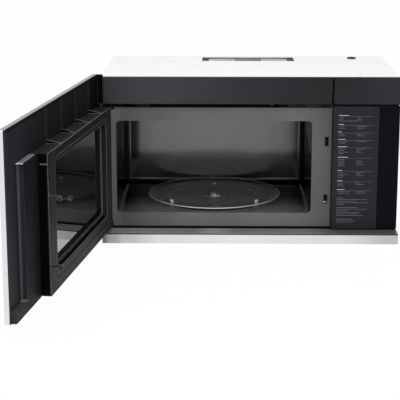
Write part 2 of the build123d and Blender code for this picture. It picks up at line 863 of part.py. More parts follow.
pocket_bottom = door_bottom + foot_height
pocket_top = column_top - column_wall
with BuildPart() as door_backing:
    with BuildSketch(door_face(panel_inner)):
        door_outline(0.0, skin_wall / 2)
    extrude(amount=panel_thickness)
    # The column that carries the controls, and the foot beside it.
    with BuildSketch(door_face(column_inner)):
        rectangle(column_left, column_right, door_bottom, column_top)
        rectangle(column_right, column_right + foot_width, door_bottom, door_bottom + foot_height)
    extrude(amount=column_depth, dir=door_outward)
    fillet(door_backing.faces().sort_by(outward_axis)[0].edges(), column_corner)
    # The finger pocket, hollowed along the column's free side.
    with BuildSketch(door_plan.offset(pocket_bottom)):
        with Locations((column_right + pocket_offset, -(column_inner + panel_inner) / 2)):
            Circle(pocket_radius)
        rectangle(
            column_right,
            column_right + pocket_offset + pocket_radius,
            -panel_inner - pocket_radius * 2,
            -column_inner + pocket_radius * 2,
            mode=Mode.SUBTRACT,
        )
        rectangle(
            column_left,
            column_right + foot_width,
            -panel_inner - pocket_radius * 2,
            -panel_inner,
            mode=Mode.SUBTRACT,
        )
    extrude(amount=pocket_top - pocket_bottom, mode=Mode.SUBTRACT)
    # Hollows behind the column and the foot.
    hollow_right = column_right + pocket_offset - pocket_radius - pocket_wall
    with BuildSketch(door_face(column_inner + column_wall)):
        rectangle(column_left + column_wall, hollow_right, door_bottom + column_wall, column_top - column_wall)
        rectangle(
            hollow_right + column_wall,
            column_right + foot_width - column_wall,
            door_bottom + column_wall,
            door_bottom + foot_height - column_wall,
        )
    extrude(amount=column_depth + panel_thickness, dir=door_outward, mode=Mode.SUBTRACT)
    with BuildSketch(door_face(panel_inner)):
        window_outline(0.0)
    extrude(amount=panel_thickness, mode=Mode.SUBTRACT)
    # The bevel on the column's top, where it ends over the finger pocket.
    with BuildSketch(door_face(column_inner)):
        with BuildLine():
            Polyline(
                (column_right - column_end_chamfer, column_top),
                (column_right, column_top - column_end_chamfer),
                (column_right, column_top),
                close=True,
            )
        make_face()
    extrude(amount=column_depth, mode=Mode.SUBTRACT)
    # The wall along the hinge side, above the inner frame.
    with BuildSketch(door_section(door_left + column_wall / 2)):
        with BuildLine():
            Polyline(
                (panel_inner, return_wall_start),
                (panel_inner - return_wall_depth, return_wall_start),
                (panel_inner - return_wall_depth, door_top - return_wall_chamfer),
                (panel_inner - return_wall_depth + return_wall_chamfer, door_top),
                (panel_inner, door_top),
                close=True,
            )
        make_face()
    extrude(amount=column_wall / 2, both=True)
    # Low upright ribs, in line with the inner frame's gussets.
    for index in range(gusset_count):
        along = gusset_first + index * gusset_pitch
        rib_bottom = frame_top + gusset_height
        with BuildSketch(door_section(along)):
            rectangle(panel_inner - rib_height, panel_inner, rib_bottom, door_top - rib_top_gap)
        extrude(amount=gusset_thickness / 2, both=True)
    for along, height in door_screw_points:
        with BuildSketch(door_face(panel_inner)):
            with Locations((along, height)):
                Circle(screw_radius)
        extrude(amount=panel_thickness, mode=Mode.SUBTRACT)
finish(door_backing, "door_backing")

choke_outer = choke_inner_margin + choke_width
latch_shelf = latch_bar_bottom - running_gap - spring_length
with BuildPart() as door_inner_frame:
    with BuildSketch(door_face(door_inner)):
        rectangle(frame_left, frame_right, frame_bottom, frame_top, frame_corner)
    extrude(amount=panel_inner - door_inner)
    with BuildSketch(door_face(frame_cavity)):
        rectangle(
            frame_left + frame_wall,
            frame_right - frame_wall,
            frame_bottom + frame_wall,
            frame_top - frame_wall,
            frame_corner / 2,
        )
        window_outline(frame_wall, mode=Mode.SUBTRACT)
        for along, height in door_screw_points:
            with Locations((along, height)):
                Circle(boss_radius, mode=Mode.SUBTRACT)
        shelf_left = hook_left - spring_radius * 2
        rectangle(shelf_left, frame_right, latch_shelf - spring_seat, latch_shelf, mode=Mode.SUBTRACT)
        for low, high in ((frame_bottom, frame_bottom + pin_depth), (frame_top - pin_depth, frame_top)):
            rectangle(frame_left, frame_left + pin_block_width, low, high, mode=Mode.SUBTRACT)
    extrude(amount=panel_inner - frame_cavity, mode=Mode.SUBTRACT)
    with BuildSketch(door_face(door_inner)):
        window_outline(0.0)
    extrude(amount=pane_recess - frame_wall, mode=Mode.SUBTRACT)
    with BuildSketch(door_face(pane_inner)):
        window_outline(0.0)
    extrude(amount=panel_inner - pane_inner, mode=Mode.SUBTRACT)
    with BuildSketch(door_face(pane_inner - frame_wall)):
        window_outline(-window_ledge)
    extrude(amount=frame_wall, mode=Mode.SUBTRACT)
    with BuildSketch(door_face(door_inner)):
        window_outline(choke_outer)
        window_outline(choke_inner_margin, mode=Mode.SUBTRACT)
    extrude(amount=choke_depth, mode=Mode.SUBTRACT)
    # Slots for the two latch hooks.
    for centre in latch_slot_centres:
        middle = centre - hook_drop
        with BuildSketch(door_face(door_inner)):
            rectangle(
                hook_left - running_gap,
                hook_right + running_gap,
                middle - hook_height / 2 - running_gap,
                middle + hook_height / 2 + latch_travel + running_gap,
            )
        extrude(amount=frame_face, mode=Mode.SUBTRACT)
    for along, height in door_screw_points:
        with BuildSketch(door_face(panel_inner)):
            with Locations((along, height)):
                Circle(screw_radius)
        extrude(amount=-pin_depth, mode=Mode.SUBTRACT)
    for low in (frame_bottom, frame_top - pin_depth):
        with BuildSketch(door_plan.offset(low)):
            Circle(pin_radius + pin_gap / 2)
        extrude(amount=pin_depth, mode=Mode.SUBTRACT)
    # Gussets that brace the frame's top against the door's panel.
    for index in range(gusset_count):
        with BuildSketch(door_section(gusset_first + index * gusset_pitch)):
            with BuildLine():
                Polyline(
                    (door_inner, frame_top),
                    (panel_inner, frame_top),
                    (panel_inner, frame_top + gusset_height),
                    (door_inner, frame_top + gusset_front_height),
                    close=True,
                )
            make_face()
        extrude(amount=gusset_thickness / 2, both=True)
    # A small lug on the free side, beside the column.
    with BuildSketch(door_face(door_inner + frame_wall)):
        rectangle(frame_right, frame_right + side_lug_reach, side_lug_z, side_lug_z + side_lug_height)
    extrude(amount=side_lug_depth)
finish(door_inner_frame, "door_inner_frame")

with BuildPart() as choke_cover:
    with BuildSketch(door_face(door_inner)):
        window_outline(choke_outer - choke_gap)
        window_outline(choke_inner_margin + choke_gap, mode=Mode.SUBTRACT)
    extrude(amount=choke_depth)
finish(choke_cover, "choke_cover")

with BuildPart() as window_inner_pane:
    with BuildSketch(door_face(pane_inner)):
        window_outline(-axle_gap)
    extrude(amount=pane_thickness)
finish(window_inner_pane, "window_inner_pane")

with BuildPart() as window_screen:
    with BuildSketch(door_face(pane_inner + pane_thickness)):
        window_outline(-axle_gap)
    extrude(amount=screen_thickness)
finish(window_screen, "window_screen")

board_margin = 4.0
board_thickness = 1.6
display_height = 4.0
display_width = 88.0
display_length = 40.0
display_top_gap = 20.0
key_size = (14.0, 18.0)
key_pitch = (36.0, 50.0)
key_columns = 2
key_rows = 4
key_thickness = 4.0
with BuildPart() as touch_board:
    board_bottom = door_bottom + foot_height
    board_top = column_top - foot_height
    with BuildSketch(door_face(skin_inner)):
        rectangle(column_left + board_margin / 4, column_right - board_margin, board_bottom, board_top)
    extrude(amount=board_thickness)
    with BuildSketch(door_face(skin_inner + board_thickness)):
        display_left = column_left + board_margin * 3
        display_top = board_top - display_top_gap
        rectangle(display_left, display_left + display_width, display_top - display_length, display_top)
    extrude(amount=display_height)
    with BuildSketch(door_face(skin_inner)):
        with Locations(((column_left + hollow_right) / 2, (board_bottom + board_top) / 2)):
            with GridLocations(*key_pitch, key_columns, key_rows):
                Rectangle(*key_size)
    extrude(amount=-key_thickness)
finish(touch_board, "touch_board")

with BuildPart() as door_screws:
    for along, height in door_screw_points:
        with BuildSketch(door_face(skin_inner)):
            with Locations((along, height)):
                Circle(screw_head_radius)
        extrude(amount=wrapper_screw_head)
        with BuildSketch(door_face(skin_inner)):
            with Locations((along, height)):
                Circle(screw_radius - axle_gap)
        extrude(amount=-(panel_thickness + pin_depth - screw_end_gap))
finish(door_screws, "door_screws")

with BuildPart() as hinge_pins:
    upper_bottom = frame_top - pin_depth + pin_end_gap
    with BuildSketch(Plane.XY.offset(upper_bottom)):
        with Locations((pin_x, pin_y)):
            Circle(pin_radius)
    extrude(amount=upper_arm_z + bracket_thickness - upper_bottom)
    with BuildSketch(Plane.XY.offset(frame_top)):
        with Locations((pin_x, pin_y)):
            Circle(pin_shoulder_radius)
    extrude(amount=upper_arm_z - frame_top - running_gap)
    with BuildSketch(Plane.XY.offset(lower_arm_z + running_gap)):
        with Locations((pin_x, pin_y)):
            Circle(pin_radius)
    extrude(amount=frame_bottom + pin_depth - pin_end_gap - lower_arm_z - running_gap)
    with BuildSketch(Plane.XY.offset(lower_arm_z + bracket_thickness + running_gap)):
        with Locations((pin_x, pin_y)):
            Circle(pin_shoulder_radius)
    extrude(amount=frame_bottom - lower_arm_z - bracket_thickness - running_gap)
finish(hinge_pins, "hinge_pins")

# ================================================================ latch
latch_bar_inner = frame_cavity + running_gap
hook_tip = door_inner - hook_reach
with BuildPart() as latch_lever:
    with BuildSketch(door_section((hook_left + hook_right) / 2)):
        rectangle(latch_bar_inner, latch_bar_inner + latch_bar_depth, latch_bar_bottom, latch_bar_top)
        for centre in latch_slot_centres:
            middle = centre - hook_drop
            rectangle(hook_tip, latch_bar_inner, middle - hook_height / 2, middle + hook_height / 2)
    extrude(amount=hook_thickness / 2, both=True)
    # Each hook ends in a round head that narrows towards its two faces.
    for centre in latch_slot_centres:
        with BuildSketch(door_section((hook_left + hook_right) / 2)):
            head_z = centre - hook_drop - hook_height / 2 + hook_head_rise
            with Locations((hook_tip + hook_head_radius / 2, head_z)):
                Circle(hook_head_radius)
        extrude(amount=hook_head_thickness / 2, both=True, taper=hook_head_taper)
finish(latch_lever, "latch_lever")

spring_along = (hook_left + hook_right) / 2 - spring_shift
spring_outward = latch_bar_inner + latch_bar_depth / 2
with BuildPart() as latch_spring:
    spring_centre = Vector(pin_x, pin_y, 0) + door_along * spring_along + door_outward * spring_outward
    # The coil's turns, drawn as rings on a thin sleeve.
    for index in range(spring_turns):
        turn_z = latch_shelf + (spring_length - spring_wire) * index / (spring_turns - 1)
        with BuildSketch(Plane(origin=spring_centre + Vector(0, 0, turn_z), z_dir=(0, 0, 1))):
            Circle(spring_radius + spring_wire / 2)
            Circle(spring_radius - spring_wire / 2, mode=Mode.SUBTRACT)
        extrude(amount=spring_wire)
    with BuildSketch(Plane(origin=spring_centre + Vector(0, 0, latch_shelf), z_dir=(0, 0, 1))):
        Circle(spring_radius)
        Circle(spring_radius - spring_wire / 2, mode=Mode.SUBTRACT)
    extrude(amount=spring_length)
finish(latch_spring, "latch_spring")

# ================================================================ interlock
interlock_gap = 2.0
interlock_left = latch_slot_x + latch_slot_width + interlock_gap
interlock_wall = 2.5
interlock_bottom = latch_slot_centres[0] - latch_slot_height
interlock_top = latch_slot_centres[1] + latch_slot_height
interlock_depth = 52.0
switch_length = 28.0
switch_height = 16.0
switch_thickness = 10.0
button_size = 4.0
button_inset = 3.0
button_setback = 6.0
button_height = 3.0
interlock_y = front_y + sheet
switch_heights = (latch_slot_centres[0], sum(latch_slot_centres) / 2, latch_slot_centres[1])
with BuildPart() as interlock_frame:
    block(
        (interlock_left, interlock_y, interlock_bottom),
        (interlock_left + interlock_wall, interlock_y + interlock_depth, interlock_top),
    )
    block(
        (interlock_left, interlock_y, interlock_bottom),
        (interlock_left + interlock_depth / 2, interlock_y + interlock_wall, interlock_top),
    )
    for height in switch_heights:
        block(
            (interlock_left, interlock_y + interlock_wall, height - switch_height / 2 - interlock_wall),
            (
                interlock_left + interlock_wall + switch_thickness,
                interlock_y + interlock_depth,
                height - switch_height / 2,
            ),
        )
finish(interlock_frame, "interlock_frame")

with BuildPart() as interlock_switches:
    for height in switch_heights:
        low_x = interlock_left + interlock_wall
        low_y = interlock_y + interlock_depth - switch_length
        switch_top = height + switch_height / 2
        block(
            (low_x, low_y, height - switch_height / 2),
            (low_x + switch_thickness, low_y + switch_length, switch_top),
        )
        low_x += button_inset
        low_y += button_setback
        block(
            (low_x, low_y, switch_top),
            (low_x + button_size, low_y + button_size, switch_top + button_height),
        )
finish(interlock_switches, "interlock_switches")

# ================================================================ power parts
waveguide_left = cavity_right + cavity_wall
waveguide_depth = 40.0
waveguide_wall = 1.0
waveguide_corner = 4.0
port_margin = 6.0
waveguide_bottom = waveguide_port_z - waveguide_port_height / 2 - port_margin
waveguide_height = 118.0
waveguide_top = waveguide_bottom + waveguide_height
waveguide_half = waveguide_port_length / 2 + waveguide_wall
antenna_drop = 30.0
antenna_gap = 3.0
antenna_z = waveguide_top - antenna_drop
antenna_radius = 9.0
antenna_length = 24.0
with BuildPart() as waveguide:
    with BuildSketch(side_plane(waveguide_left)):
        rectangle(
            waveguide_port_y - waveguide_half,
            waveguide_port_y + waveguide_half,
            waveguide_bottom,
            waveguide_top,
            waveguide_corner,
        )
    extrude(amount=waveguide_depth)
    offset(amount=-waveguide_wall, openings=waveguide.faces().sort_by(Axis.X)[0])
    with BuildSketch(side_plane(waveguide_left + waveguide_depth)):
        with Locations((waveguide_port_y, antenna_z)):
            Circle(antenna_radius + antenna_gap)
    extrude(amount=-waveguide_wall, mode=Mode.SUBTRACT)
finish(waveguide, "waveguide")

magnetron_left = waveguide_left + waveguide_depth
magnetron_width = 82.0
magnetron_half_depth = 40.0
magnetron_half_height = 34.0
flange_thickness = 2.0
anode_radius = 20.0
yoke_half_depth = 32.0
yoke_half_height = 27.0
yoke_length = 29.0
fin_count = 6
fin_start = 10.0
fin_pitch = 7.0
fin_inset = 2.0
fin_thickness = 1.2
with BuildPart() as magnetron:
    with BuildSketch(side_plane(magnetron_left)):
        with Locations((waveguide_port_y, antenna_z)):
            Rectangle(magnetron_half_depth * 2, magnetron_half_height * 2)
    extrude(amount=flange_thickness)
    with BuildSketch(side_plane(magnetron_left)):
        with Locations((waveguide_port_y, antenna_z)):
            Circle(anode_radius)
    extrude(amount=magnetron_width)
    for index in range(fin_count):
        with BuildSketch(side_plane(magnetron_left + fin_start + index * fin_pitch)):
            with Locations((waveguide_port_y, antenna_z)):
                Rectangle((magnetron_half_depth - fin_inset) * 2, (magnetron_half_height - fin_inset) * 2)
        extrude(amount=fin_thickness)
    with BuildSketch(side_plane(magnetron_left + magnetron_width)):
        with Locations((waveguide_port_y, antenna_z)):
            Rectangle(yoke_half_depth * 2, yoke_half_height * 2)
    extrude(amount=-yoke_length)
    with BuildSketch(side_plane(magnetron_left)):
        with Locations((waveguide_port_y, antenna_z)):
            Circle(antenna_radius)
    extrude(amount=-antenna_length)
finish(magnetron, "magnetron")

core_width = 104.0
core_depth = 62.0
core_height = 78.0
core_gap = 2.0
core_foot = 12.0
winding_width = 64.0
winding_depth = 93.0
winding_height = 46.0
winding_start = 16.0
winding_corner = 8.0
foot_depth = 37.0
transformer_inset = 95.0
transformer_x = right_x - transformer_inset
transformer_y = filter_y - filter_depth / 2 - filter_lip - core_gap - core_depth / 2
with BuildPart() as hv_transformer:
    with BuildSketch(Plane.XY.offset(sheet)):
        with Locations((transformer_x, transformer_y)):
            Rectangle(core_width, core_depth)
    extrude(amount=core_height)
    with BuildSketch(Plane.XY.offset(sheet + winding_start)):
        with Locations((transformer_x, transformer_y)):
            RectangleRounded(winding_width, winding_depth, winding_corner)
    extrude(amount=winding_height)
    with BuildSketch(Plane.XY.offset(sheet)):
        with Locations((transformer_x, transformer_y)):
            Rectangle(core_width + core_foot * 2, foot_depth)
    extrude(amount=sheet * 2)
finish(hv_transformer, "hv_transformer")

capacitor_length = 56.0
capacitor_depth = 34.0
capacitor_height = 96.0
capacitor_inset = 45.0
capacitor_setback = 100.0
terminal_spread = 22.0
terminal_radius = 4.0
terminal_height = 12.0
capacitor_x = right_x - capacitor_inset
capacitor_y = transformer_y + capacitor_setback
with BuildPart() as hv_capacitor:
    with BuildSketch(Plane.XY.offset(sheet)):
        with Locations((capacitor_x, capacitor_y)):
            SlotOverall(capacitor_length, capacitor_depth)
    extrude(amount=capacitor_height)
    with BuildSketch(Plane.XY.offset(sheet + capacitor_height)):
        with Locations((capacitor_x, capacitor_y)):
            with GridLocations(terminal_spread, 0, 2, 1):
                Circle(terminal_radius)
    extrude(amount=terminal_height)
finish(hv_capacitor, "hv_capacitor")

fan_radius = 56.0
fan_frame = 132.0
fan_depth = 34.0
fan_wall = 2.5
fan_x = right_x - sheet - fan_frame / 2
fan_z = 140.0
fan_y = rim_y - sheet - fan_depth
fan_tip_gap = 3.0
fan_corner = 4.0
fan_mount_radius = 22.0
fan_arm_width = 7.0
fan_arm_overlap = 6.0
with BuildPart() as cooling_fan_shroud:
    with BuildSketch(fan_plane(fan_y)):
        RectangleRounded(fan_frame, fan_frame, fan_corner)
        Circle(fan_radius + fan_tip_gap, mode=Mode.SUBTRACT)
    extrude(amount=-fan_depth)
    with BuildSketch(fan_plane(fan_y + fan_depth)):
        with PolarLocations(0, 2, start_angle=45):
            Rectangle((fan_radius + fan_arm_overlap) * 2, fan_arm_width)
        Circle(fan_mount_radius)
        Circle(shaft_radius + axle_gap * 2, mode=Mode.SUBTRACT)
    extrude(amount=fan_wall)
finish(cooling_fan_shroud, "cooling_fan_shroud")

fan_motor_depth = 14.0
fan_motor_width = 38.0
fan_motor_corner = 5.0
with BuildPart() as cooling_fan_motor:
    with BuildSketch(fan_plane(fan_y + fan_depth - fan_wall)):
        RectangleRounded(fan_motor_width, fan_motor_width, fan_motor_corner)
        Circle(shaft_radius + axle_gap, mode=Mode.SUBTRACT)
    extrude(amount=fan_motor_depth)
finish(cooling_fan_motor, "cooling_fan_motor")

blade_count = 5
hub_length = 12.0
hub_outer_radius = 14.0
blade_root_radius = 12.0
blade_root_chord = 13.0
blade_tip_chord = 34.0
blade_thickness = 1.3
blade_root_pitch = 37.0
blade_tip_pitch = 20.0
with BuildPart() as cooling_fan_blade:
    hub_y = fan_y + fan_depth - fan_wall - fan_motor_depth - running_gap * 2
    with BuildSketch(fan_plane(hub_y)):
        Circle(hub_outer_radius)
    extrude(amount=hub_length)
    with BuildSketch(fan_plane(hub_y)):
        Circle(shaft_radius)
    extrude(amount=-(fan_motor_depth + running_gap))
    for index in range(blade_count):
        angle = radians(360.0 / blade_count * index)
        radial = Vector(cos(angle), 0, sin(angle))
        for radius, chord, pitch in (
            (blade_root_radius, blade_root_chord, radians(blade_root_pitch)),
            (fan_radius, blade_tip_chord, radians(blade_tip_pitch)),
        ):
            section = Plane(
                origin=Vector(fan_x, hub_y - hub_length / 2, fan_z) + radial * radius,
                x_dir=Vector(-sin(angle) * cos(pitch), -sin(pitch), cos(angle) * cos(pitch)),
                z_dir=radial,
            )
            with BuildSketch(section):
                Rectangle(chord, blade_thickness)
        loft(ruled=True)
finish(cooling_fan_blade, "cooling_fan_blade")

board_inset = 90.0
board_setback = 85.0
board_length = 94.0
board_depth = 64.0
standoff_radius = 3.0
standoff_height = 8.0
standoff_margin = 5.0
choke_coil_radius = 15.0
choke_coil_bore = 7.0
choke_coil_height = 14.0
choke_coil_shift = 20.0
relay_size = (26.0, 12.0)
relay_height = 16.0
relay_pitch = 22.0
board_x = opening_right - board_inset
board_y = front_y + board_setback
with BuildPart() as line_filter_board:
    roof = cavity_roof + cavity_wall
    board_face = roof + standoff_height + board_thickness
    with BuildSketch(Plane.XY.offset(roof)):
        with Locations((board_x, board_y)):
            with GridLocations(board_length - standoff_margin * 2, board_depth - standoff_margin * 2, 2, 2):
                Circle(standoff_radius)
    extrude(amount=standoff_height)
    with BuildSketch(Plane.XY.offset(roof + standoff_height)):
        with Locations((board_x, board_y)):
            Rectangle(board_length, board_depth)
    extrude(amount=board_thickness)
    with BuildSketch(Plane.XY.offset(board_face)):
        with Locations((board_x - choke_coil_shift, board_y)):
            Circle(choke_coil_radius)
            Circle(choke_coil_bore, mode=Mode.SUBTRACT)
    extrude(amount=choke_coil_height)
    with BuildSketch(Plane.XY.offset(board_face)):
        with Locations((board_x + choke_coil_shift, board_y)):
            with GridLocations(0, relay_pitch, 1, 2):
                Rectangle(*relay_size)
    extrude(amount=relay_height)
finish(line_filter_board, "line_filter_board")

# ================================================================ exhaust
wheel_radius = 40.0
wheel_width = 58.0
scroll_gap = 8.0
scroll_wall = 1.5
scroll_width = 70.0
blower_motor_length = 76.0
blower_setback = 76.0
blower_lift = 53.0
blower_y = back_y - blower_setback
blower_z = cavity_roof + cavity_wall + blower_lift
cradle_half_depth = 30.0
cradle_drop = 30.0
cradle_foot = 3.0
blower_motor_radius = 30.0
blower_motor_gap = 8.0
shaft_end_gap = 4.0
scroll_radius = wheel_radius + scroll_gap + scroll_wall
outlet_depth = 44.0
outlet_clearance = 4.0
outlet_top = case_height - sheet - outlet_clearance
inlet_radius = 30.0
blower_axis = Axis((0, blower_y, blower_z), (1, 0, 0))
with BuildPart() as exhaust_blower_housing:
    for side in (-1, 1):
        inner_x = side * blower_motor_length / 2
        low_x = min(inner_x, inner_x + side * scroll_width)
        with BuildSketch(side_plane(low_x)):
            with Locations((blower_y, blower_z)):
                Circle(scroll_radius)
            rectangle(blower_y + scroll_radius - outlet_depth, blower_y + scroll_radius, blower_z, outlet_top)
        extrude(amount=scroll_width)
        with BuildSketch(side_plane(low_x + scroll_wall)):
            with Locations((blower_y, blower_z)):
                Circle(scroll_radius - scroll_wall)
            rectangle(
                blower_y + scroll_radius - outlet_depth + scroll_wall,
                blower_y + scroll_radius - scroll_wall,
                blower_z,
                outlet_top,
            )
        extrude(amount=scroll_width - scroll_wall * 2, mode=Mode.SUBTRACT)
        with BuildSketch(side_plane(low_x)):
            with Locations((blower_y, blower_z)):
                Circle(inlet_radius)
        extrude(amount=scroll_width, mode=Mode.SUBTRACT)
    # The cradle under the motor joins the two scrolls and stands on the cavity's roof.
    cradle_bottom = cavity_roof + cavity_wall
    block(
        (-blower_motor_length / 2, blower_y - cradle_half_depth, cradle_bottom),
        (blower_motor_length / 2, blower_y + cradle_half_depth, blower_z - cradle_drop),
    )
    block(
        (-blower_motor_length / 2 - scroll_width, blower_y - cradle_half_depth, cradle_bottom),
        (blower_motor_length / 2 + scroll_width, blower_y + cradle_half_depth, cradle_bottom + cradle_foot),
    )
    for side in (-1, 1):
        with BuildSketch(side_plane(side * (blower_motor_length / 2 + scroll_width / 2))):
            with Locations((blower_y, blower_z)):
                Circle(scroll_radius - scroll_wall)
        extrude(amount=scroll_width / 2 - scroll_wall, both=True, mode=Mode.SUBTRACT)
finish(exhaust_blower_housing, "exhaust_blower_housing")

with BuildPart() as blower_motor:
    with BuildSketch(side_plane(-blower_motor_length / 2 + blower_motor_gap)):
        with Locations((blower_y, blower_z)):
            Circle(blower_motor_radius)
            Circle(shaft_radius + axle_gap, mode=Mode.SUBTRACT)
    extrude(amount=blower_motor_length - blower_motor_gap * 2)
finish(blower_motor, "blower_motor")

shaft_half = blower_motor_length / 2 + scroll_width - scroll_wall - shaft_end_gap
with BuildPart() as blower_shaft:
    with BuildSketch(side_plane(-shaft_half)):
        with Locations((blower_y, blower_z)):
            Circle(shaft_radius)
    extrude(amount=shaft_half * 2)
finish(blower_shaft, "blower_shaft")

wheel_blades = 20
wheel_ring_width = 8.0
wheel_disc = 3.0
wheel_blade_chord = 6.5
wheel_blade_thickness = 1.2
wheel_blade_angle = 35.0
wheel_hub_radius = 8.0


def make_blower_wheel(side, name):
    """A squirrel-cage wheel: a hub disc, two end rings and slanted blades between them."""
    middle = side * (blower_motor_length / 2 + scroll_width / 2)
    low_x = middle - wheel_width / 2
    with BuildPart() as wheel:
        for start in (low_x, low_x + wheel_width - wheel_disc):
            with BuildSketch(side_plane(start)):
                with Locations((blower_y, blower_z)):
                    Circle(wheel_radius)
                    Circle(wheel_radius - wheel_ring_width, mode=Mode.SUBTRACT)
            extrude(amount=wheel_disc)
        with BuildSketch(side_plane(middle - wheel_disc / 2)):
            with Locations((blower_y, blower_z)):
                Circle(wheel_radius)
                Circle(shaft_radius, mode=Mode.SUBTRACT)
        extrude(amount=wheel_disc)
        with BuildSketch(side_plane(low_x)):
            with Locations((blower_y, blower_z)):
                with PolarLocations(wheel_radius - wheel_ring_width / 2, wheel_blades):
                    Rectangle(wheel_blade_chord, wheel_blade_thickness, rotation=wheel_blade_angle)
        extrude(amount=wheel_width)
        with BuildSketch(side_plane(middle - wheel_hub_radius)):
            with Locations((blower_y, blower_z)):
                Circle(wheel_hub_radius)
                Circle(shaft_radius, mode=Mode.SUBTRACT)
        extrude(amount=wheel_hub_radius * 2)
    finish(wheel, name)


make_blower_wheel(-1, "blower_wheel_left")
make_blower_wheel(1, "blower_wheel_right")

charcoal_length = 280.0
charcoal_height = 78.0
charcoal_thickness = 18.0
charcoal_setback = 12.0
charcoal_pitch = 18.0
charcoal_cell = 13.0
charcoal_columns = 14
charcoal_rows = 4
charcoal_cell_depth = 2.0
charcoal_x = table_x
with BuildPart() as charcoal_filter:
    low = (charcoal_x - charcoal_length / 2, front_y + charcoal_setback, cavity_roof + cavity_wall)
    block(low, (low[0] + charcoal_length, low[1] + charcoal_thickness, low[2] + charcoal_height))
    with BuildSketch(front_plane(charcoal_setback)):
        with Locations((charcoal_x, cavity_roof + cavity_wall + charcoal_height / 2)):
            with GridLocations(charcoal_pitch, charcoal_pitch, charcoal_columns, charcoal_rows):
                Rectangle(charcoal_cell, charcoal_cell)
    extrude(amount=-charcoal_cell_depth, mode=Mode.SUBTRACT)
finish(charcoal_filter, "charcoal_filter")

with BuildPart() as cable_inlet:
    with BuildSketch(Plane.XY.offset(case_height)):
        with Locations((grommet_x, grommet_y)):
            Circle(grommet_radius)
            Circle(grommet_bore, mode=Mode.SUBTRACT)
    extrude(amount=grommet_height)
    with BuildSketch(Plane.XY.offset(case_height)):
        with Locations((grommet_x, grommet_y)):
            Circle(grommet_hole - axle_gap)
            Circle(grommet_bore, mode=Mode.SUBTRACT)
    extrude(amount=-grommet_depth)
finish(cable_inlet, "cable_inlet")
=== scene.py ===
"""Over the range microwave with its door standing open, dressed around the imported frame."""

from __future__ import annotations

import json
import logging
import math
import random
from dataclasses import dataclass, replace
from enum import Enum

import bmesh
import bpy
from mathutils import Euler, Matrix, Vector

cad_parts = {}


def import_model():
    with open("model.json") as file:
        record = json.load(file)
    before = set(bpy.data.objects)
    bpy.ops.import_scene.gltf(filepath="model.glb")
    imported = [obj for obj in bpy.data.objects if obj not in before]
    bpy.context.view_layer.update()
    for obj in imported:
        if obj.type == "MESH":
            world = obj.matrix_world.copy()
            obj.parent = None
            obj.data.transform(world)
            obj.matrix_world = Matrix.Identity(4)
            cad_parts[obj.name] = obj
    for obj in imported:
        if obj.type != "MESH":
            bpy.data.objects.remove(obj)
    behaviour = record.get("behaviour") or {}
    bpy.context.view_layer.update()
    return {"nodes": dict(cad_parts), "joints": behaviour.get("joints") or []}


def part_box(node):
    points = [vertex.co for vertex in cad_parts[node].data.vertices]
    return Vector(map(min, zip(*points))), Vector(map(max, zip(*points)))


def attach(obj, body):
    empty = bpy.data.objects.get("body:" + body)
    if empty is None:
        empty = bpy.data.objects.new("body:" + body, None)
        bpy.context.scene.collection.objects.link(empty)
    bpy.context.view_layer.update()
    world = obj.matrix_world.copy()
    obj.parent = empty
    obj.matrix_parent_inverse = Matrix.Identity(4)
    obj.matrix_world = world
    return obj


LOG = logging.getLogger("microwave")
MM = 0.001
WHITE = (1.0, 1.0, 1.0, 1.0)
NOISE_LOW, NOISE_HIGH = 0.3, 0.7
FLAT_COSINE, EDGE_COSINE = 0.995, 0.8
# Blue tint of the highlight painted on edges.
PAINTED_GLINT_BLUE = 1.04
MARK_SOFT = 0.4

Colour = tuple[float, float, float]
Seen = tuple[int, int, int]
Socket = bpy.types.NodeSocket


def from_srgb(red: float, green: float, blue: float) -> Colour:
    """Turns a colour as it is seen, 0 to 255, into the linear colour that a shader takes.

    Args:
        red: red, 0 to 255.
        green: green, 0 to 255.
        blue: blue, 0 to 255.

    Returns:
        The linear colour.
    """
    linear = []
    for value in (red, green, blue):
        share = value / 255
        linear.append(share / 12.92 if share <= 0.04045 else ((share + 0.055) / 1.055) ** 2.4)
    return (linear[0], linear[1], linear[2])


class Grain(Enum):
    """How a surface is finished."""

    SATIN_PAINT = "satin paint"
    MOULDED = "moulded plastic"
    BRUSHED_ACROSS = "brushed along the case"
    BRUSHED_DOOR = "brushed along the door"
    ENAMEL = "glossy oven enamel"
    GALVANISED = "galvanised sheet"
    CLEAR_GLASS = "clear glass"
    DARK_GLASS = "dark glass"
    DOOR_GLASS = "the door's printed front glass"
    PERFORATED = "perforated sheet"
    KNITTED = "knitted metal mesh"
    PRINT = "printed ink"
    LAMINATED = "laminated iron"
    PELLETS = "charcoal pellets"
    BOARD = "circuit board"
    CAST = "plain metal"


class Along(Enum):
    """The directions that a finish can change along."""

    ACROSS = "across the case"
    BACK = "front to back"
    UP = "up"
    DOOR = "along the door, from its pin"
    DOOR_OUT = "out of the door's outer face"
    TABLE = "out from the turntable's axis"


@dataclass(frozen=True)
class Fade:
    """How a finish's level changes along a direction, as painted light and shade: places in millimetres, each with
    its share.
    """

    along: Along
    stops: tuple[tuple[float, float], ...]


@dataclass(frozen=True)
class Patch:
    """A region with its own colour, as seen, 0 to 255, given by spans along some directions. Millimetres. Most
    patches are painted light and shade; the door glass's zones are its print and screen.
    """

    colour: Seen
    spans: tuple[tuple[Along, float, float], ...]
    soft: float = 1.0
    share: float = 1.0
    metallic: float | None = None
    clear: float | None = None
    fade: Fade | None = None


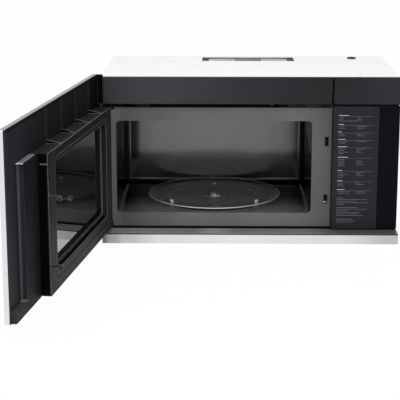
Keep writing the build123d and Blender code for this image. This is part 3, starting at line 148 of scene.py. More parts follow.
@dataclass(frozen=True)
class Axes:
    """Where the object's own directions start and point: the case's, the open door's and the turntable's."""

    pin: Vector
    angle: float
    table: Vector

    @property
    def along(self) -> Vector:
        """The direction from the hinge to the door's free side."""
        return Vector((math.cos(self.angle), -math.sin(self.angle), 0.0))

    @property
    def outward(self) -> Vector:
        """The direction out of the door's outer face."""
        return Vector((-math.sin(self.angle), -math.cos(self.angle), 0.0))

    def ray(self, along: Along) -> tuple[Vector, Vector]:
        """Gives a direction's start and its unit vector, in metres.

        Args:
            along: the direction, other than out from the turntable's axis.

        Returns:
            The point that it is measured from, and the unit vector.
        """
        origin = Vector((0.0, 0.0, 0.0))
        return {
            Along.ACROSS: (origin, Vector((1.0, 0.0, 0.0))),
            Along.BACK: (origin, Vector((0.0, 1.0, 0.0))),
            Along.UP: (origin, Vector((0.0, 0.0, 1.0))),
            Along.DOOR: (self.pin, self.along),
            Along.DOOR_OUT: (self.pin, self.outward),
        }[along]

    def matrix(self) -> Matrix:
        """Turns door millimetres (along, up, outward) into the world's metres.

        Returns:
            The matrix.
        """
        columns = (self.along, Vector((0.0, 0.0, 1.0)), self.outward)
        matrix = Matrix.Identity(4)
        for index, column in enumerate(columns):
            for row in range(3):
                matrix[row][index] = column[row] * MM
        matrix.translation = Vector((self.pin.x, self.pin.y, 0.0))
        return matrix


class Nodes:
    """A node tree, with short calls to add nodes and join them."""

    def __init__(self, tree: bpy.types.NodeTree) -> None:
        """Takes a tree and empties it."""
        self.tree = tree
        self.tree.nodes.clear()

    def add(self, kind: str, **settings: object) -> bpy.types.Node:
        """Adds a node.

        Args:
            kind: the node's type name.
            settings: values for the node's own settings.

        Returns:
            The node.
        """
        node = self.tree.nodes.new(kind)
        for key, value in settings.items():
            setattr(node, key, value)
        return node

    def join(self, source: Socket, target: Socket) -> None:
        """Links one socket to another."""
        self.tree.links.new(source, target)

    def math(self, operation: str, first: Socket | float, second: Socket | float) -> Socket:
        """Adds a sum with two values.

        Args:
            operation: the sum's name.
            first: a socket or a number.
            second: a socket or a number.

        Returns:
            The result's socket.
        """
        node = self.add("ShaderNodeMath", operation=operation)
        for socket, value in zip(node.inputs, (first, second)):
            if isinstance(value, (int, float)):
                socket.default_value = value
            else:
                self.join(value, socket)
        return node.outputs["Value"]

    def light(self, kind: str, strength: float) -> Socket:
        """Adds plain white light.

        Args:
            kind: the node's type name, a background's or an emission's.
            strength: its strength.

        Returns:
            The shader's socket.
        """
        node = self.add(kind)
        node.inputs["Strength"].default_value = strength
        node.inputs["Color"].default_value = WHITE
        return node.outputs[0]

    def seen_by(self, *rays: str) -> Socket:
        """Gives 1 to some kinds of ray and 0 to the others.

        Args:
            rays: the kinds, as Light Path names them.

        Returns:
            The mask's socket.
        """
        path = self.add("ShaderNodeLightPath")
        seen = path.outputs[rays[0]]
        for ray in rays[1:]:
            seen = self.math("MAXIMUM", seen, path.outputs[ray])
        return seen

    def mix_shaders(self, factor: Socket, first: Socket, second: Socket, surface: Socket) -> None:
        """Blends two shaders into a surface.

        Args:
            factor: how far, 0 to 1.
            first: the shader at 0.
            second: the shader at 1.
            surface: the socket that takes the blend.
        """
        mix = self.add("ShaderNodeMixShader")
        self.join(factor, mix.inputs["Fac"])
        self.join(first, mix.inputs[1])
        self.join(second, mix.inputs[2])
        self.join(mix.outputs["Shader"], surface)


class Graph(Nodes):
    """A material's node tree, built up on its shader."""

    def __init__(self, name: str, axes: Axes | None = None) -> None:
        """Starts a material with one shader.

        Args:
            name: the material's name.
            axes: the object's directions, where the material changes along them.
        """
        self.axes = axes
        self.material = bpy.data.materials.new(name)
        self.material.use_nodes = True
        super().__init__(self.material.node_tree)
        self.shader = self.add("ShaderNodeBsdfPrincipled")
        self.output = self.add("ShaderNodeOutputMaterial")
        self.join(self.shader.outputs["BSDF"], self.output.inputs["Surface"])

    def set(self, **values: object) -> None:
        """Sets the shader's inputs.

        Args:
            values: values by the input's name, with an underscore for each space.
        """
        for key, value in values.items():
            socket = self.shader.inputs[key.replace("_", " ")]
            if isinstance(value, tuple) and len(value) == 3 and socket.type == "RGBA":
                socket.default_value = (*value, 1.0)
            else:
                socket.default_value = value

    def feed(self, source: Socket, name: str) -> None:
        """Links a socket to the shader's input of that name."""
        self.join(source, self.shader.inputs[name])

    def carry(self, name: str, target: Socket) -> None:
        """Gives a node's input what one of the shader's inputs has now.

        Args:
            name: the shader input's name.
            target: the input that takes its link or its plain value.
        """
        source = self.shader.inputs[name]
        if source.is_linked:
            self.join(source.links[0].from_socket, target)
        elif target.type == "VECTOR":
            target.default_value = source.default_value[:3]
        else:
            target.default_value = source.default_value

    def place(self, stretch: Colour = (1.0, 1.0, 1.0), turn: float = 0.0) -> Socket:
        """Gives the object's own coordinates, stretched and turned about Z.

        Args:
            stretch: how many times each axis is repeated.
            turn: the turn about Z, in radians.

        Returns:
            The vector socket.
        """
        vector = self.add("ShaderNodeTexCoord").outputs["Object"]
        for name, value in (("Rotation", (0.0, 0.0, turn)), ("Scale", stretch)):
            mapping = self.add("ShaderNodeMapping")
            mapping.inputs[name].default_value = value
            self.join(vector, mapping.inputs["Vector"])
            vector = mapping.outputs["Vector"]
        return vector

    def vector_math(self, operation: str, first: Socket, second: Vector | None = None) -> bpy.types.Node:
        """Adds a sum on vectors.

        Args:
            operation: the sum's name.
            first: a vector socket.
            second: the other vector, for a sum that has one.

        Returns:
            The node.
        """
        node = self.add("ShaderNodeVectorMath", operation=operation)
        self.join(first, node.inputs[0])
        if second is not None:
            node.inputs[1].default_value = second
        return node

    def reach(self, along: Along) -> Socket:
        """Measures how far a point lies along a direction, in millimetres.

        Args:
            along: the direction.

        Returns:
            The distance's socket.
        """
        source = self.add("ShaderNodeTexCoord").outputs["Object"]
        start = self.axes.table if along is Along.TABLE else self.axes.ray(along)[0]
        moved = self.vector_math("SUBTRACT", source, start).outputs["Vector"]
        if along is Along.TABLE:
            level = self.vector_math("MULTIPLY", moved, Vector((1.0, 1.0, 0.0)))
            measured = self.vector_math("LENGTH", level.outputs["Vector"])
        else:
            measured = self.vector_math("DOT_PRODUCT", moved, self.axes.ray(along)[1])
        return self.math("DIVIDE", measured.outputs["Value"], MM)

    def remap(
        self, value: Socket, start: float, end: float, low: float = 0.0, high: float = 1.0, kind: str = "LINEAR"
    ) -> Socket:
        """Maps one range to another and holds it at the ends.

        Args:
            value: the socket to map.
            start: the value that gives the low one.
            end: the value that gives the high one.
            low: the result at the start.
            high: the result at the end.
            kind: how it eases between them.

        Returns:
            The mapped socket.
        """
        mapped = self.add("ShaderNodeMapRange", interpolation_type=kind)
        for name, number in (("From Min", start), ("From Max", end), ("To Min", low), ("To Max", high)):
            mapped.inputs[name].default_value = number
        self.join(value, mapped.inputs["Value"])
        return mapped.outputs["Result"]

    def ramp(self, factor: Socket, stops: tuple[tuple[float, Colour], ...], easing: str = "LINEAR") -> Socket:
        """Turns a factor into a colour along a row of stops.

        Args:
            factor: the socket that picks the colour.
            stops: places from 0 to 1, each with its linear colour.
            easing: how it eases between them.

        Returns:
            The colour socket.
        """
        node = self.add("ShaderNodeValToRGB")
        node.color_ramp.interpolation = easing
        elements = node.color_ramp.elements
        while len(elements) < len(stops):
            elements.new(1.0)
        for element, (place, colour) in zip(elements, stops):
            element.position = place
            element.color = (*colour, 1.0)
        self.join(factor, node.inputs["Fac"])
        return node.outputs["Color"]

    def level(self, fade: Fade) -> Socket:
        """Gives a fade's share at each point.

        Args:
            fade: the fade.

        Returns:
            The share's socket.
        """
        first, last = fade.stops[0][0], fade.stops[-1][0]
        top = max(share for _, share in fade.stops)
        stops = tuple(((place - first) / (last - first), (share / top,) * 3) for place, share in fade.stops)
        run = self.remap(self.reach(fade.along), first, last)
        return self.math("MULTIPLY", self.ramp(run, stops, "EASE"), top)

    def inside(self, patch: Patch) -> Socket:
        """Gives 1 inside a patch and 0 outside it, with its soft edge.

        Args:
            patch: the patch.

        Returns:
            The mask's socket.
        """
        mask = None
        for along, low, high in patch.spans:
            within = self.between(self.reach(along), low, high, patch.soft)
            mask = within if mask is None else self.math("MULTIPLY", mask, within)
        return self.math("MULTIPLY", mask, patch.share)

    def between(self, value: Socket, low: float, high: float, soft: float) -> Socket:
        """Gives 1 where a value lies between two limits, easing to 0 at each.

        Args:
            value: the socket to test.
            low: the lower limit.
            high: the upper limit.
            soft: how wide the easing is.

        Returns:
            The mask's socket.
        """
        entered = self.remap(value, low - soft / 2, low + soft / 2, kind="SMOOTHSTEP")
        left = self.remap(value, high + soft / 2, high - soft / 2, kind="SMOOTHSTEP")
        return self.math("MULTIPLY", entered, left)

    def marks(self, along: Along, start: float, pitch: float, length: float) -> Socket:
        """Gives 1 on short marks that repeat along a direction. Millimetres.

        Args:
            along: the direction.
            start: where the first pitch begins.
            pitch: how far apart the marks are.
            length: how long each one is.

        Returns:
            The mask's socket.
        """
        run = self.math("MODULO", self.math("SUBTRACT", self.reach(along), start), pitch)
        return self.between(run, (pitch - length) / 2, (pitch + length) / 2, MARK_SOFT)

    def blend(self, factor: Socket, name: str, value: Colour | float) -> None:
        """Blends one of the shader's inputs towards a value.

        Args:
            factor: how far, 0 to 1.
            name: the shader input's name.
            value: the linear colour or the number at 1.
        """
        socket = self.shader.inputs[name]
        plain = isinstance(value, (int, float))
        mix = self.add("ShaderNodeMix", data_type="FLOAT" if plain else "RGBA")
        ends = [item for item in mix.inputs if item.type == socket.type and item.name in ("A", "B")]
        self.carry(name, ends[0])
        ends[1].default_value = value if plain else (*value, 1.0)
        self.join(factor, mix.inputs["Factor"])
        self.join(next(item for item in mix.outputs if item.type == socket.type), socket)

    def patch(self, patch: Patch) -> None:
        """Lays a patch over the shader's colour, and over its metal and clearness where the patch has them.

        Args:
            patch: the patch.
        """
        factor = self.inside(patch)
        if patch.fade is not None:
            factor = self.math("MULTIPLY", factor, self.level(patch.fade))
        self.blend(factor, "Base Color", from_srgb(*patch.colour))
        if patch.metallic is not None:
            self.blend(factor, "Metallic", patch.metallic)
        if patch.clear is not None:
            self.blend(factor, "Transmission Weight", patch.clear)

    def dim(self, share: Socket) -> None:
        """Multiplies the shader's base colour by a fade's share, which paints light and shade.

        Args:
            share: the factor's socket.
        """
        scaled = self.add("ShaderNodeVectorMath", operation="SCALE")
        self.carry("Base Color", scaled.inputs[0])
        self.join(share, scaled.inputs["Scale"])
        self.feed(scaled.outputs["Vector"], "Base Color")

    def noise(self, scale: float, detail: float = 2.0, vector: Socket | None = None) -> Socket:
        """Adds a noise texture.

        Args:
            scale: repeats per metre.
            detail: how many finer layers it has.
            vector: where it is read, or None for the object's own coordinates.

        Returns:
            The factor socket, 0 to 1.
        """
        texture = self.add("ShaderNodeTexNoise")
        texture.inputs["Scale"].default_value = scale
        texture.inputs["Detail"].default_value = detail
        self.join(vector or self.place(), texture.inputs["Vector"])
        return texture.outputs["Fac"]

    def cells(self, scale: float, vector: Socket, feature: str = "F1", randomness: float = 1.0) -> bpy.types.Node:
        """Adds a pattern of cells.

        Args:
            scale: cells per metre.
            vector: where it is read.
            feature: what it measures.
            randomness: how far the cells stray from a grid, 0 to 1.

        Returns:
            The node.
        """
        node = self.add("ShaderNodeTexVoronoi", feature=feature)
        node.inputs["Scale"].default_value = scale
        node.inputs["Randomness"].default_value = randomness
        self.join(vector, node.inputs["Vector"])
        return node

    def rounded(self, radius: float) -> Socket:
        """Rounds the surface's normal at its edges.

        Args:
            radius: the edges' radius in metres.

        Returns:
            The normal's socket.
        """
        bevel = self.add("ShaderNodeBevel", samples=4)
        bevel.inputs["Radius"].default_value = radius
        return bevel.outputs["Normal"]

    def relief(self, height: Socket | None, depth: float, edge: float) -> None:
        """Gives the shader a fine relief and softly rounded edges.

        Args:
            height: the relief's height, 0 to 1, or None for rounded edges alone.
            depth: the relief's depth in metres.
            edge: the radius of the rounded edges in metres, or 0 for none.
        """
        normal = self.rounded(edge) if edge > 0 else None
        if height is not None:
            bump = self.add("ShaderNodeBump")
            bump.inputs["Distance"].default_value = depth
            bump.inputs["Strength"].default_value = 1.0
            self.join(height, bump.inputs["Height"])
            if normal is not None:
                self.join(normal, bump.inputs["Normal"])
            normal = bump.outputs["Normal"]
        if normal is not None:
            self.feed(normal, "Normal")

    def painted_glint(self, radius: float, strength: float) -> None:
        """Paints a highlight into the base colour at the edges, where a moulding or a paint film would catch the
        light.

        Args:
            radius: how far from the edge it reaches, in metres.
            strength: the colour's level right on the edge.
        """
        turned = self.vector_math("DOT_PRODUCT", self.rounded(radius))
        self.join(self.add("ShaderNodeNewGeometry").outputs["Normal"], turned.inputs[1])
        mask = self.remap(turned.outputs["Value"], FLAT_COSINE, EDGE_COSINE, kind="SMOOTHSTEP")
        self.blend(mask, "Base Color", (strength, strength, strength * PAINTED_GLINT_BLUE))


@dataclass(frozen=True)
class Finish:
    """One surface finish, as it would be ordered for the real object, with painted light and shade laid over it.
    Its colour is as seen, 0 to 255.
    """

    name: str
    slot: str
    grain: Grain
    colour: Seen
    roughness: float = 0.5
    metallic: float = 0.0
    edge: float = 0.6 * MM
    variation: float = 0.08
    specular: float = 0.2
    # Level of the highlight painted on the edges, 0 for none.
    painted_glint: float = 0.0
    ior: float = 1.5
    # Painted light and shade: fades of the colour along the object's directions, and patches.
    painted_light_fades: tuple[Fade, ...] = ()
    painted_light_patches: tuple[Patch, ...] = ()

    def material(self, axes: Axes) -> bpy.types.Material:
        """Builds the material.

        Args:
            axes: the object's directions, for a grain or a fade that follows them.

        Returns:
            The material.
        """
        graph = Graph(self.name, axes)
        graph.set(Base_Color=self._shade(0.0), Roughness=self.roughness, Metallic=self.metallic)
        graph.set(Specular_IOR_Level=self.specular, IOR=self.ior)
        makers = {
            Grain.SATIN_PAINT: self._paint,
            Grain.MOULDED: self._moulded,
            Grain.BRUSHED_ACROSS: self._brushed,
            Grain.BRUSHED_DOOR: self._brushed,
            Grain.ENAMEL: self._enamel,
            Grain.GALVANISED: self._galvanised,
            Grain.CLEAR_GLASS: self._clear_glass,
            Grain.DARK_GLASS: self._dark_glass,
            Grain.DOOR_GLASS: self._door_glass,
            Grain.PERFORATED: self._perforated,
            Grain.KNITTED: self._knitted,
            Grain.PRINT: self._print,
            Grain.LAMINATED: self._laminated,
            Grain.PELLETS: self._pellets,
            Grain.BOARD: self._board,
            Grain.CAST: self._cast,
        }
        makers[self.grain](graph)
        # Painted light and shade over the grain: the fades, the patches, then the highlight painted on the edges.
        for fade in self.painted_light_fades:
            graph.dim(graph.level(fade))
        for patch in self.painted_light_patches:
            graph.patch(patch)
        if self.painted_glint > 0:
            graph.painted_glint(self.edge, self.painted_glint)
        return graph.material

    def _shade(self, share: float) -> Colour:
        """Gives the finish's linear colour made lighter or darker by a share."""
        return tuple(min(1.0, channel * (1.0 + share)) for channel in from_srgb(*self.colour))

    def _mottle(self, graph: Graph, factor: Socket, low: Colour | None = None, high: Colour | None = None) -> None:
        """Varies the colour by a factor.

        Args:
            graph: the material.
            factor: the socket that blends.
            low: the linear colour at 0, or None for the finish's own variation.
            high: the linear colour at 1, or None for the same.
        """
        first = self._shade(-self.variation) if low is None else low
        second = self._shade(self.variation) if high is None else high
        graph.feed(graph.ramp(factor, ((NOISE_LOW, first), (NOISE_HIGH, second))), "Base Color")

    def _roughen(self, graph: Graph, factor: Socket, less: float, more: float) -> None:
        """Varies the roughness by a factor.

        Args:
            graph: the material.
            factor: the socket that blends.
            less: how much smoother it gets.
            more: how much rougher it gets.
        """
        low, high = self.roughness - less, self.roughness + more
        graph.feed(graph.remap(factor, NOISE_LOW, NOISE_HIGH, low, high), "Roughness")

    def _paint(self, graph: Graph) -> None:
        """Satin paint over sheet steel, with a faint orange peel.

        Args:
            graph: the material.
        """
        self._mottle(graph, graph.noise(9.0))
        peel = graph.noise(900.0)
        self._roughen(graph, peel, 0.04, 0.04)
        graph.relief(peel, 0.012 * MM, self.edge)

    def _moulded(self, graph: Graph) -> None:
        """Moulded plastic with a fine spark-eroded grain.

        Args:
            graph: the material.
        """
        self._mottle(graph, graph.noise(14.0))
        grain = graph.noise(2600.0, 3.0)
        self._roughen(graph, grain, 0.05, 0.05)
        graph.relief(grain, 0.010 * MM, self.edge)

    def _brushed(self, graph: Graph) -> None:
        """Metal brushed along the case's width or along the door.

        Args:
            graph: the material.
        """
        turn = graph.axes.angle if self.grain is Grain.BRUSHED_DOOR else 0.0
        strokes = graph.noise(4.0, 4.0, graph.place((3.0, 900.0, 900.0), turn))
        self._mottle(graph, strokes)
        self._roughen(graph, strokes, 0.05, 0.06)
        graph.relief(strokes, 0.004 * MM, self.edge)

    def _enamel(self, graph: Graph) -> None:
        """Glossy enamel with a fine fleck, less mirror-like at a glance along it than bare metal is.

        Args:
            graph: the material.
        """
        graph.set(Specular_Tint=(0.35, 0.35, 0.35))
        self._mottle(graph, graph.noise(1400.0, 1.0))
        waves = graph.noise(45.0)
        self._roughen(graph, waves, 0.02, 0.02)
        graph.relief(waves, 0.03 * MM, self.edge)

    def _galvanised(self, graph: Graph) -> None:
        """Galvanised steel, with the zinc's large soft crystals.

        Args:
            graph: the material.
        """
        grey = graph.add("ShaderNodeSeparateColor")
        graph.join(graph.cells(110.0, graph.place()).outputs["Color"], grey.inputs["Color"])
        self._mottle(graph, grey.outputs["Red"])
        self._roughen(graph, grey.outputs["Red"], 0.06, 0.06)
        graph.relief(None, 0.0, self.edge)

    def _clear_glass(self, graph: Graph) -> None:
        """Clear glass, very faintly wavy."""
        graph.set(Transmission_Weight=1.0)
        graph.relief(graph.noise(24.0, 1.0), 0.02 * MM, self.edge)

    def _dark_glass(self, graph: Graph) -> None:
        """Glass printed black behind, with a hard gloss.

        Args:
            graph: the material.
        """
        graph.set(Coat_Weight=0.6, Coat_Roughness=0.02)
        waves = graph.noise(12.0, 1.0)
        self._roughen(graph, waves, 0.0, 0.02)
        graph.relief(waves, 0.01 * MM, self.edge)

    def _door_glass(self, graph: Graph) -> None:
        """The front glass: its screen shows through the window, and plain key marks stand beside it.

        Args:
            graph: the material.
        """
        self._dark_glass(graph)
        holes = graph.cells(330.0, graph.place(turn=graph.axes.angle), randomness=0.0)
        sheet = graph.remap(holes.outputs["Distance"], 0.25, 0.45)
        rows = graph.marks(Along.UP, start=100.0, pitch=24.0, length=1.6)
        columns = graph.marks(Along.DOOR, start=584.0, pitch=28.0, length=11.0)
        for zone, mask in ((WINDOW_ZONE, sheet), (KEY_ZONE, graph.math("MULTIPLY", columns, rows))):
            factor = graph.math("MULTIPLY", graph.inside(zone), mask)
            graph.blend(factor, "Base Color", from_srgb(*zone.colour))

    def _perforated(self, graph: Graph) -> None:
        """Sheet with rows of small round holes, that dark air shows through."""
        holes = graph.cells(620.0, graph.place(turn=graph.axes.angle), randomness=0.0)
        self._mottle(graph, holes.outputs["Distance"], (0.002, 0.002, 0.002), self._shade(0.0))

    def _knitted(self, graph: Graph) -> None:
        """Layers of knitted aluminium wire.

        Args:
            graph: the material.
        """
        loops = graph.cells(260.0, graph.place((1.0, 1.6, 1.0)), "DISTANCE_TO_EDGE").outputs["Distance"]
        self._mottle(graph, loops, self._shade(0.0), self._shade(-0.8))
        graph.relief(loops, 0.8 * MM, 0.0)

    def _print(self, graph: Graph) -> None:
        """Screen-printed ink, a little uneven."""
        self._mottle(graph, graph.noise(400.0))

    def _laminated(self, graph: Graph) -> None:
        """A stack of varnished iron sheets.

        Args:
            graph: the material.
        """
        layers = graph.add("ShaderNodeTexWave", bands_direction="X")
        layers.inputs["Scale"].default_value = 300.0
        graph.join(graph.place(), layers.inputs["Vector"])
        self._mottle(graph, layers.outputs["Fac"], self._shade(-0.4), self._shade(0.2))
        graph.relief(layers.outputs["Fac"], 0.1 * MM, self.edge)

    def _pellets(self, graph: Graph) -> None:
        """Charcoal pellets behind a grid.

        Args:
            graph: the material.
        """
        pellets = graph.cells(350.0, graph.place()).outputs["Distance"]
        self._mottle(graph, pellets, self._shade(0.6), self._shade(-0.7))
        graph.relief(pellets, 0.8 * MM, 0.0)

    def _board(self, graph: Graph) -> None:
        """A circuit board's lacquer over its tracks.

        Args:
            graph: the material.
        """
        tracks = graph.add("ShaderNodeTexBrick")
        tracks.inputs["Scale"].default_value = 90.0
        for name, share in (("Color1", 0.1), ("Color2", -0.2), ("Mortar", 0.7)):
            tracks.inputs[name].default_value = (*self._shade(share), 1.0)
        graph.join(graph.place(), tracks.inputs["Vector"])
        graph.feed(tracks.outputs["Color"], "Base Color")
        graph.relief(None, 0.0, self.edge)

    def _cast(self, graph: Graph) -> None:
        """Plain pressed or turned metal with faint marks of handling.

        Args:
            graph: the material.
        """
        self._mottle(graph, graph.noise(60.0))
        marks = graph.noise(300.0, 3.0)
        self._roughen(graph, marks, 0.08, 0.08)
        graph.relief(marks, 0.01 * MM, self.edge)


WINDOW_ZONE = Patch((44, 44, 47), ((Along.DOOR, 60, 502), (Along.UP, 92, 310)), 8)
KEY_ZONE = Patch((168, 169, 172), ((Along.DOOR, 584, 668), (Along.UP, 100, 292)), 0.5, 0.8)

# Painted light across the top trims: lightest towards the left, darker to the right.
TRIM_PAINTED_LIGHT = Fade(
    Along.ACROSS,
    ((-356, 0.8), (-263, 1), (-108, 0.8), (15, 0.6), (139, 0.46), (201, 0.41), (232, 0.42), (356, 0.55)),
)
# Painted light and shade across the front plate: darker at its left beside the open door and towards the right.
PLATE_PAINTED_LIGHT = Fade(
    Along.ACROSS,
    ((-356, 1.1), (-342, 0.92), (-325, 0.7), (-260, 0.87), (-150, 1.02), (-20, 1.06), (100, 1.02), (210, 0.7)),
)
# Painted light on the front plate: lighter near its bottom edge.
PLATE_LOW_PAINTED_LIGHT = Fade(Along.UP, ((34, 1.16), (120, 1), (346, 1)))
# Painted reflection along the brushed bezel: dark at its left end beside the open door, brightest in the middle,
# dimmer to the right.
BEZEL_PAINTED_REFLECTION = Fade(
    Along.ACROSS,
    ((-378, 0.15), (-373, 0.18), (-361, 0.38), (-350, 0.42), (-322, 0.62))
    + ((-230, 0.88), (-30, 0.95), (220, 0.87), (376, 0.6)),
)
# Painted reflection and shade across the oven's enamel: dark towards its left and right walls, lightest in the
# middle.
OVEN_PAINTED_REFLECTION = Fade(
    Along.ACROSS,
    ((-334, 0.12), (-318, 0.16), (-300, 0.74), (-255, 0.94), (-100, 1.05))
    + ((20, 1), (100, 0.86), (131, 0.62), (147, 0.4)),
)
# Painted light and shade along the open door: darkest by the hinge, lightest at its free end, with lighter and
# darker stretches between.
DOOR_PAINTED_LIGHT = Fade(
    Along.DOOR,
    ((-10, 0.14), (60, 0.22), (110, 0.45), (300, 0.4), (455, 0.45), (466, 0.8))
    + ((482, 0.5), (560, 0.6), (595, 0.55), (640, 0.82), (700, 0.88), (750, 0.98)),
)
# Painted light and shade up the inner frame and the choke cover: lighter low down, darker towards the top.
FRAME_PAINTED_LIGHT = Fade(Along.UP, ((40, 1.05), (180, 1), (250, 0.8), (352, 0.7)))
# Spans of painted light and shade along the bezel's top ledge: lighter towards the left, darker to the right.
LEDGE_MIDDLE_PAINTED_LIGHT = Fade(Along.ACROSS, ((-378, 0.7), (-290, 0.7), (-200, 0.2), (-150, 0), (-94, 1), (-30, 0)))
LEDGE_RIGHT_PAINTED_SHADE = Fade(Along.ACROSS, ((140, 0), (240, 1), (379, 1)))
# Painted light and shade on the oven's floor and back wall: lighter at the floor's front, darker at its back, and
# a darker painted reflection at the back wall's foot.
FLOOR_FRONT_PAINTED_LIGHT = Fade(Along.BACK, ((-196, 1), (-120, 0.75), (-60, 0.3), (10, 0)))
FLOOR_BACK_PAINTED_SHADE = Fade(Along.BACK, ((-60, 0), (10, 0.6), (60, 0.9), (179, 0.9)))
WALL_FOOT_PAINTED_REFLECTION = Fade(Along.UP, ((76, 1), (118, 1), (145, 0)))
# Where the tray rim's painted highlight is strongest: at the front and back.
RIM_PAINTED_HIGHLIGHT_FADE = Fade(Along.BACK, ((-190, 0.9), (-150, 0.5), (-90, 0.18), (0, 0.12), (90, 0.18), (140, 0.5), (178, 0.9)))

# Near-black painted shade, in recesses, on shaded sides and under the silver band.
PAINTED_SHADE_BLACK = (6, 6, 7)
# Painted shade and painted highlight colours for the oven's walls and rounded corners.
WALL_PAINTED_SHADE = (32, 32, 33)
FILLET_PAINTED_SHADE = (58, 58, 59)
FILLET_PAINTED_HIGHLIGHT = (150, 150, 151)

# Painted shade: the base pan's front lip, in the gap under the front plate, made near black.
LIP_PAINTED_SHADE = Patch((8, 8, 9), ((Along.BACK, -193, -186), (Along.UP, 4, 60)), 2)
LEDGE = ((Along.UP, 27.4, 28.6), (Along.ACROSS, -400, 400))
# Painted light on the bezel's top ledge: a duller grey in place of its reflection, lighter towards the left,
# darker to the right, and a painted shade line on the front just under the ledge.
LEDGE_PAINTED_LIGHT_PATCHES = (
    Patch((120, 120, 121), LEDGE, 0.4, metallic=0.1),
    Patch((150, 150, 151), LEDGE, 0.4, metallic=0.1, fade=LEDGE_MIDDLE_PAINTED_LIGHT),
    Patch((80, 80, 82), LEDGE, 0.4, metallic=0.1, fade=LEDGE_RIGHT_PAINTED_SHADE),
    Patch((40, 40, 41), ((Along.UP, 23.8, 27.4), (Along.BACK, -245, -242)), 0.5, metallic=0.2),
)
LEFT_FILLET = (Along.ACROSS, -344.6, -334)
RIGHT_FILLET = (Along.ACROSS, 148, 158.7)
BACK_FILLET = (Along.BACK, 168, 178.7)
FLOOR_FILLET = (Along.UP, 64.8, 75.5)
SIDE_RUN = (Along.BACK, -194, 185)
BACK_FACE = (Along.BACK, 176, 181)
BACK_RUN = (Along.ACROSS, -335, 149)
CORNER_EDGE = (Along.BACK, 166, 170.5)
CORNER_RISE = (Along.UP, 74, 320)
FLOOR_FACE = ((Along.UP, 63, 66), (Along.ACROSS, -344, 158))
# Painted light and shade in the oven: painted shade on the side walls and in the rounded corners, painted
# highlight lines along the corners' edges, the floor lighter at the front and darker at the back, and the back
# wall darker at its foot.
OVEN_PAINTED_LIGHT_PATCHES = (
    Patch(WALL_PAINTED_SHADE, ((Along.ACROSS, -347, -344), SIDE_RUN), 0.6),
    Patch((42, 42, 43), ((Along.ACROSS, 158.2, 161), SIDE_RUN), 0.6),
    Patch(FILLET_PAINTED_SHADE, (LEFT_FILLET, BACK_FILLET), 1.5, metallic=0.2),
    Patch(FILLET_PAINTED_SHADE, (RIGHT_FILLET, BACK_FILLET), 1.5, metallic=0.2),
    Patch(WALL_PAINTED_SHADE, (LEFT_FILLET, FLOOR_FILLET), 1.5, metallic=0.2),
    Patch(WALL_PAINTED_SHADE, (RIGHT_FILLET, FLOOR_FILLET), 1.5, metallic=0.2),
    Patch((46, 46, 47), (BACK_FILLET, FLOOR_FILLET), 1.5, metallic=0.2),
    Patch(FILLET_PAINTED_HIGHLIGHT, ((Along.ACROSS, -335, -332.4), BACK_FACE, CORNER_RISE), 1.2, metallic=0.2),
    Patch(FILLET_PAINTED_HIGHLIGHT, ((Along.ACROSS, 146.4, 149), BACK_FACE, CORNER_RISE), 1.2, metallic=0.2),
    Patch(FILLET_PAINTED_HIGHLIGHT, (CORNER_EDGE, (Along.ACROSS, -347, -342.5), CORNER_RISE), 1.2, metallic=0.2),
    Patch(FILLET_PAINTED_HIGHLIGHT, (CORNER_EDGE, (Along.ACROSS, 156.5, 161), CORNER_RISE), 1.2, metallic=0.2),
    Patch(FILLET_PAINTED_HIGHLIGHT, ((Along.UP, 75, 77), BACK_FACE, BACK_RUN), 1.2, 0.8),
    Patch(FILLET_PAINTED_HIGHLIGHT, ((Along.BACK, 163.5, 168.5), (Along.UP, 63, 66.5), BACK_RUN), 1.2, 0.8),
    Patch((98, 98, 99), FLOOR_FACE, 0.8, 0.9, 0.2, fade=FLOOR_FRONT_PAINTED_LIGHT),
    Patch((40, 40, 41), FLOOR_FACE, 0.8, fade=FLOOR_BACK_PAINTED_SHADE),
    Patch((92, 92, 92), ((Along.BACK, 178.4, 181), (Along.UP, 77.5, 145)), 0.8, fade=WALL_FOOT_PAINTED_REFLECTION),
)
# Painted shade: near black low on the door's frame and choke cover, in the recess below the window.
RECESS_PAINTED_SHADE = Patch(PAINTED_SHADE_BLACK, ((Along.UP, 66, 82), (Along.DOOR, 50, 512), (Along.DOOR_OUT, -17, -2)), 1)
# Painted shade on the inner frame: near black on its side wall beside the column, and on the side of each gusset
# that faces the door's free end.
FRAME_PAINTED_SHADE_PATCHES = (
    Patch((7, 7, 8), ((Along.DOOR, 571, 573), (Along.DOOR_OUT, -15, 15)), 1),
    RECESS_PAINTED_SHADE,
    *(
        Patch(PAINTED_SHADE_BLACK, ((Along.DOOR, gusset + 0.8, gusset + 2.6), (Along.UP, 351.8, 380)), 0.5)
        for gusset in (96, 220, 344, 468)
    ),
)
COLUMN_OUT = (Along.DOOR_OUT, 2, 15.4)
COLUMN_RISE = (Along.UP, 60, 351)
COLUMN_END = (Along.DOOR, 673, 683)
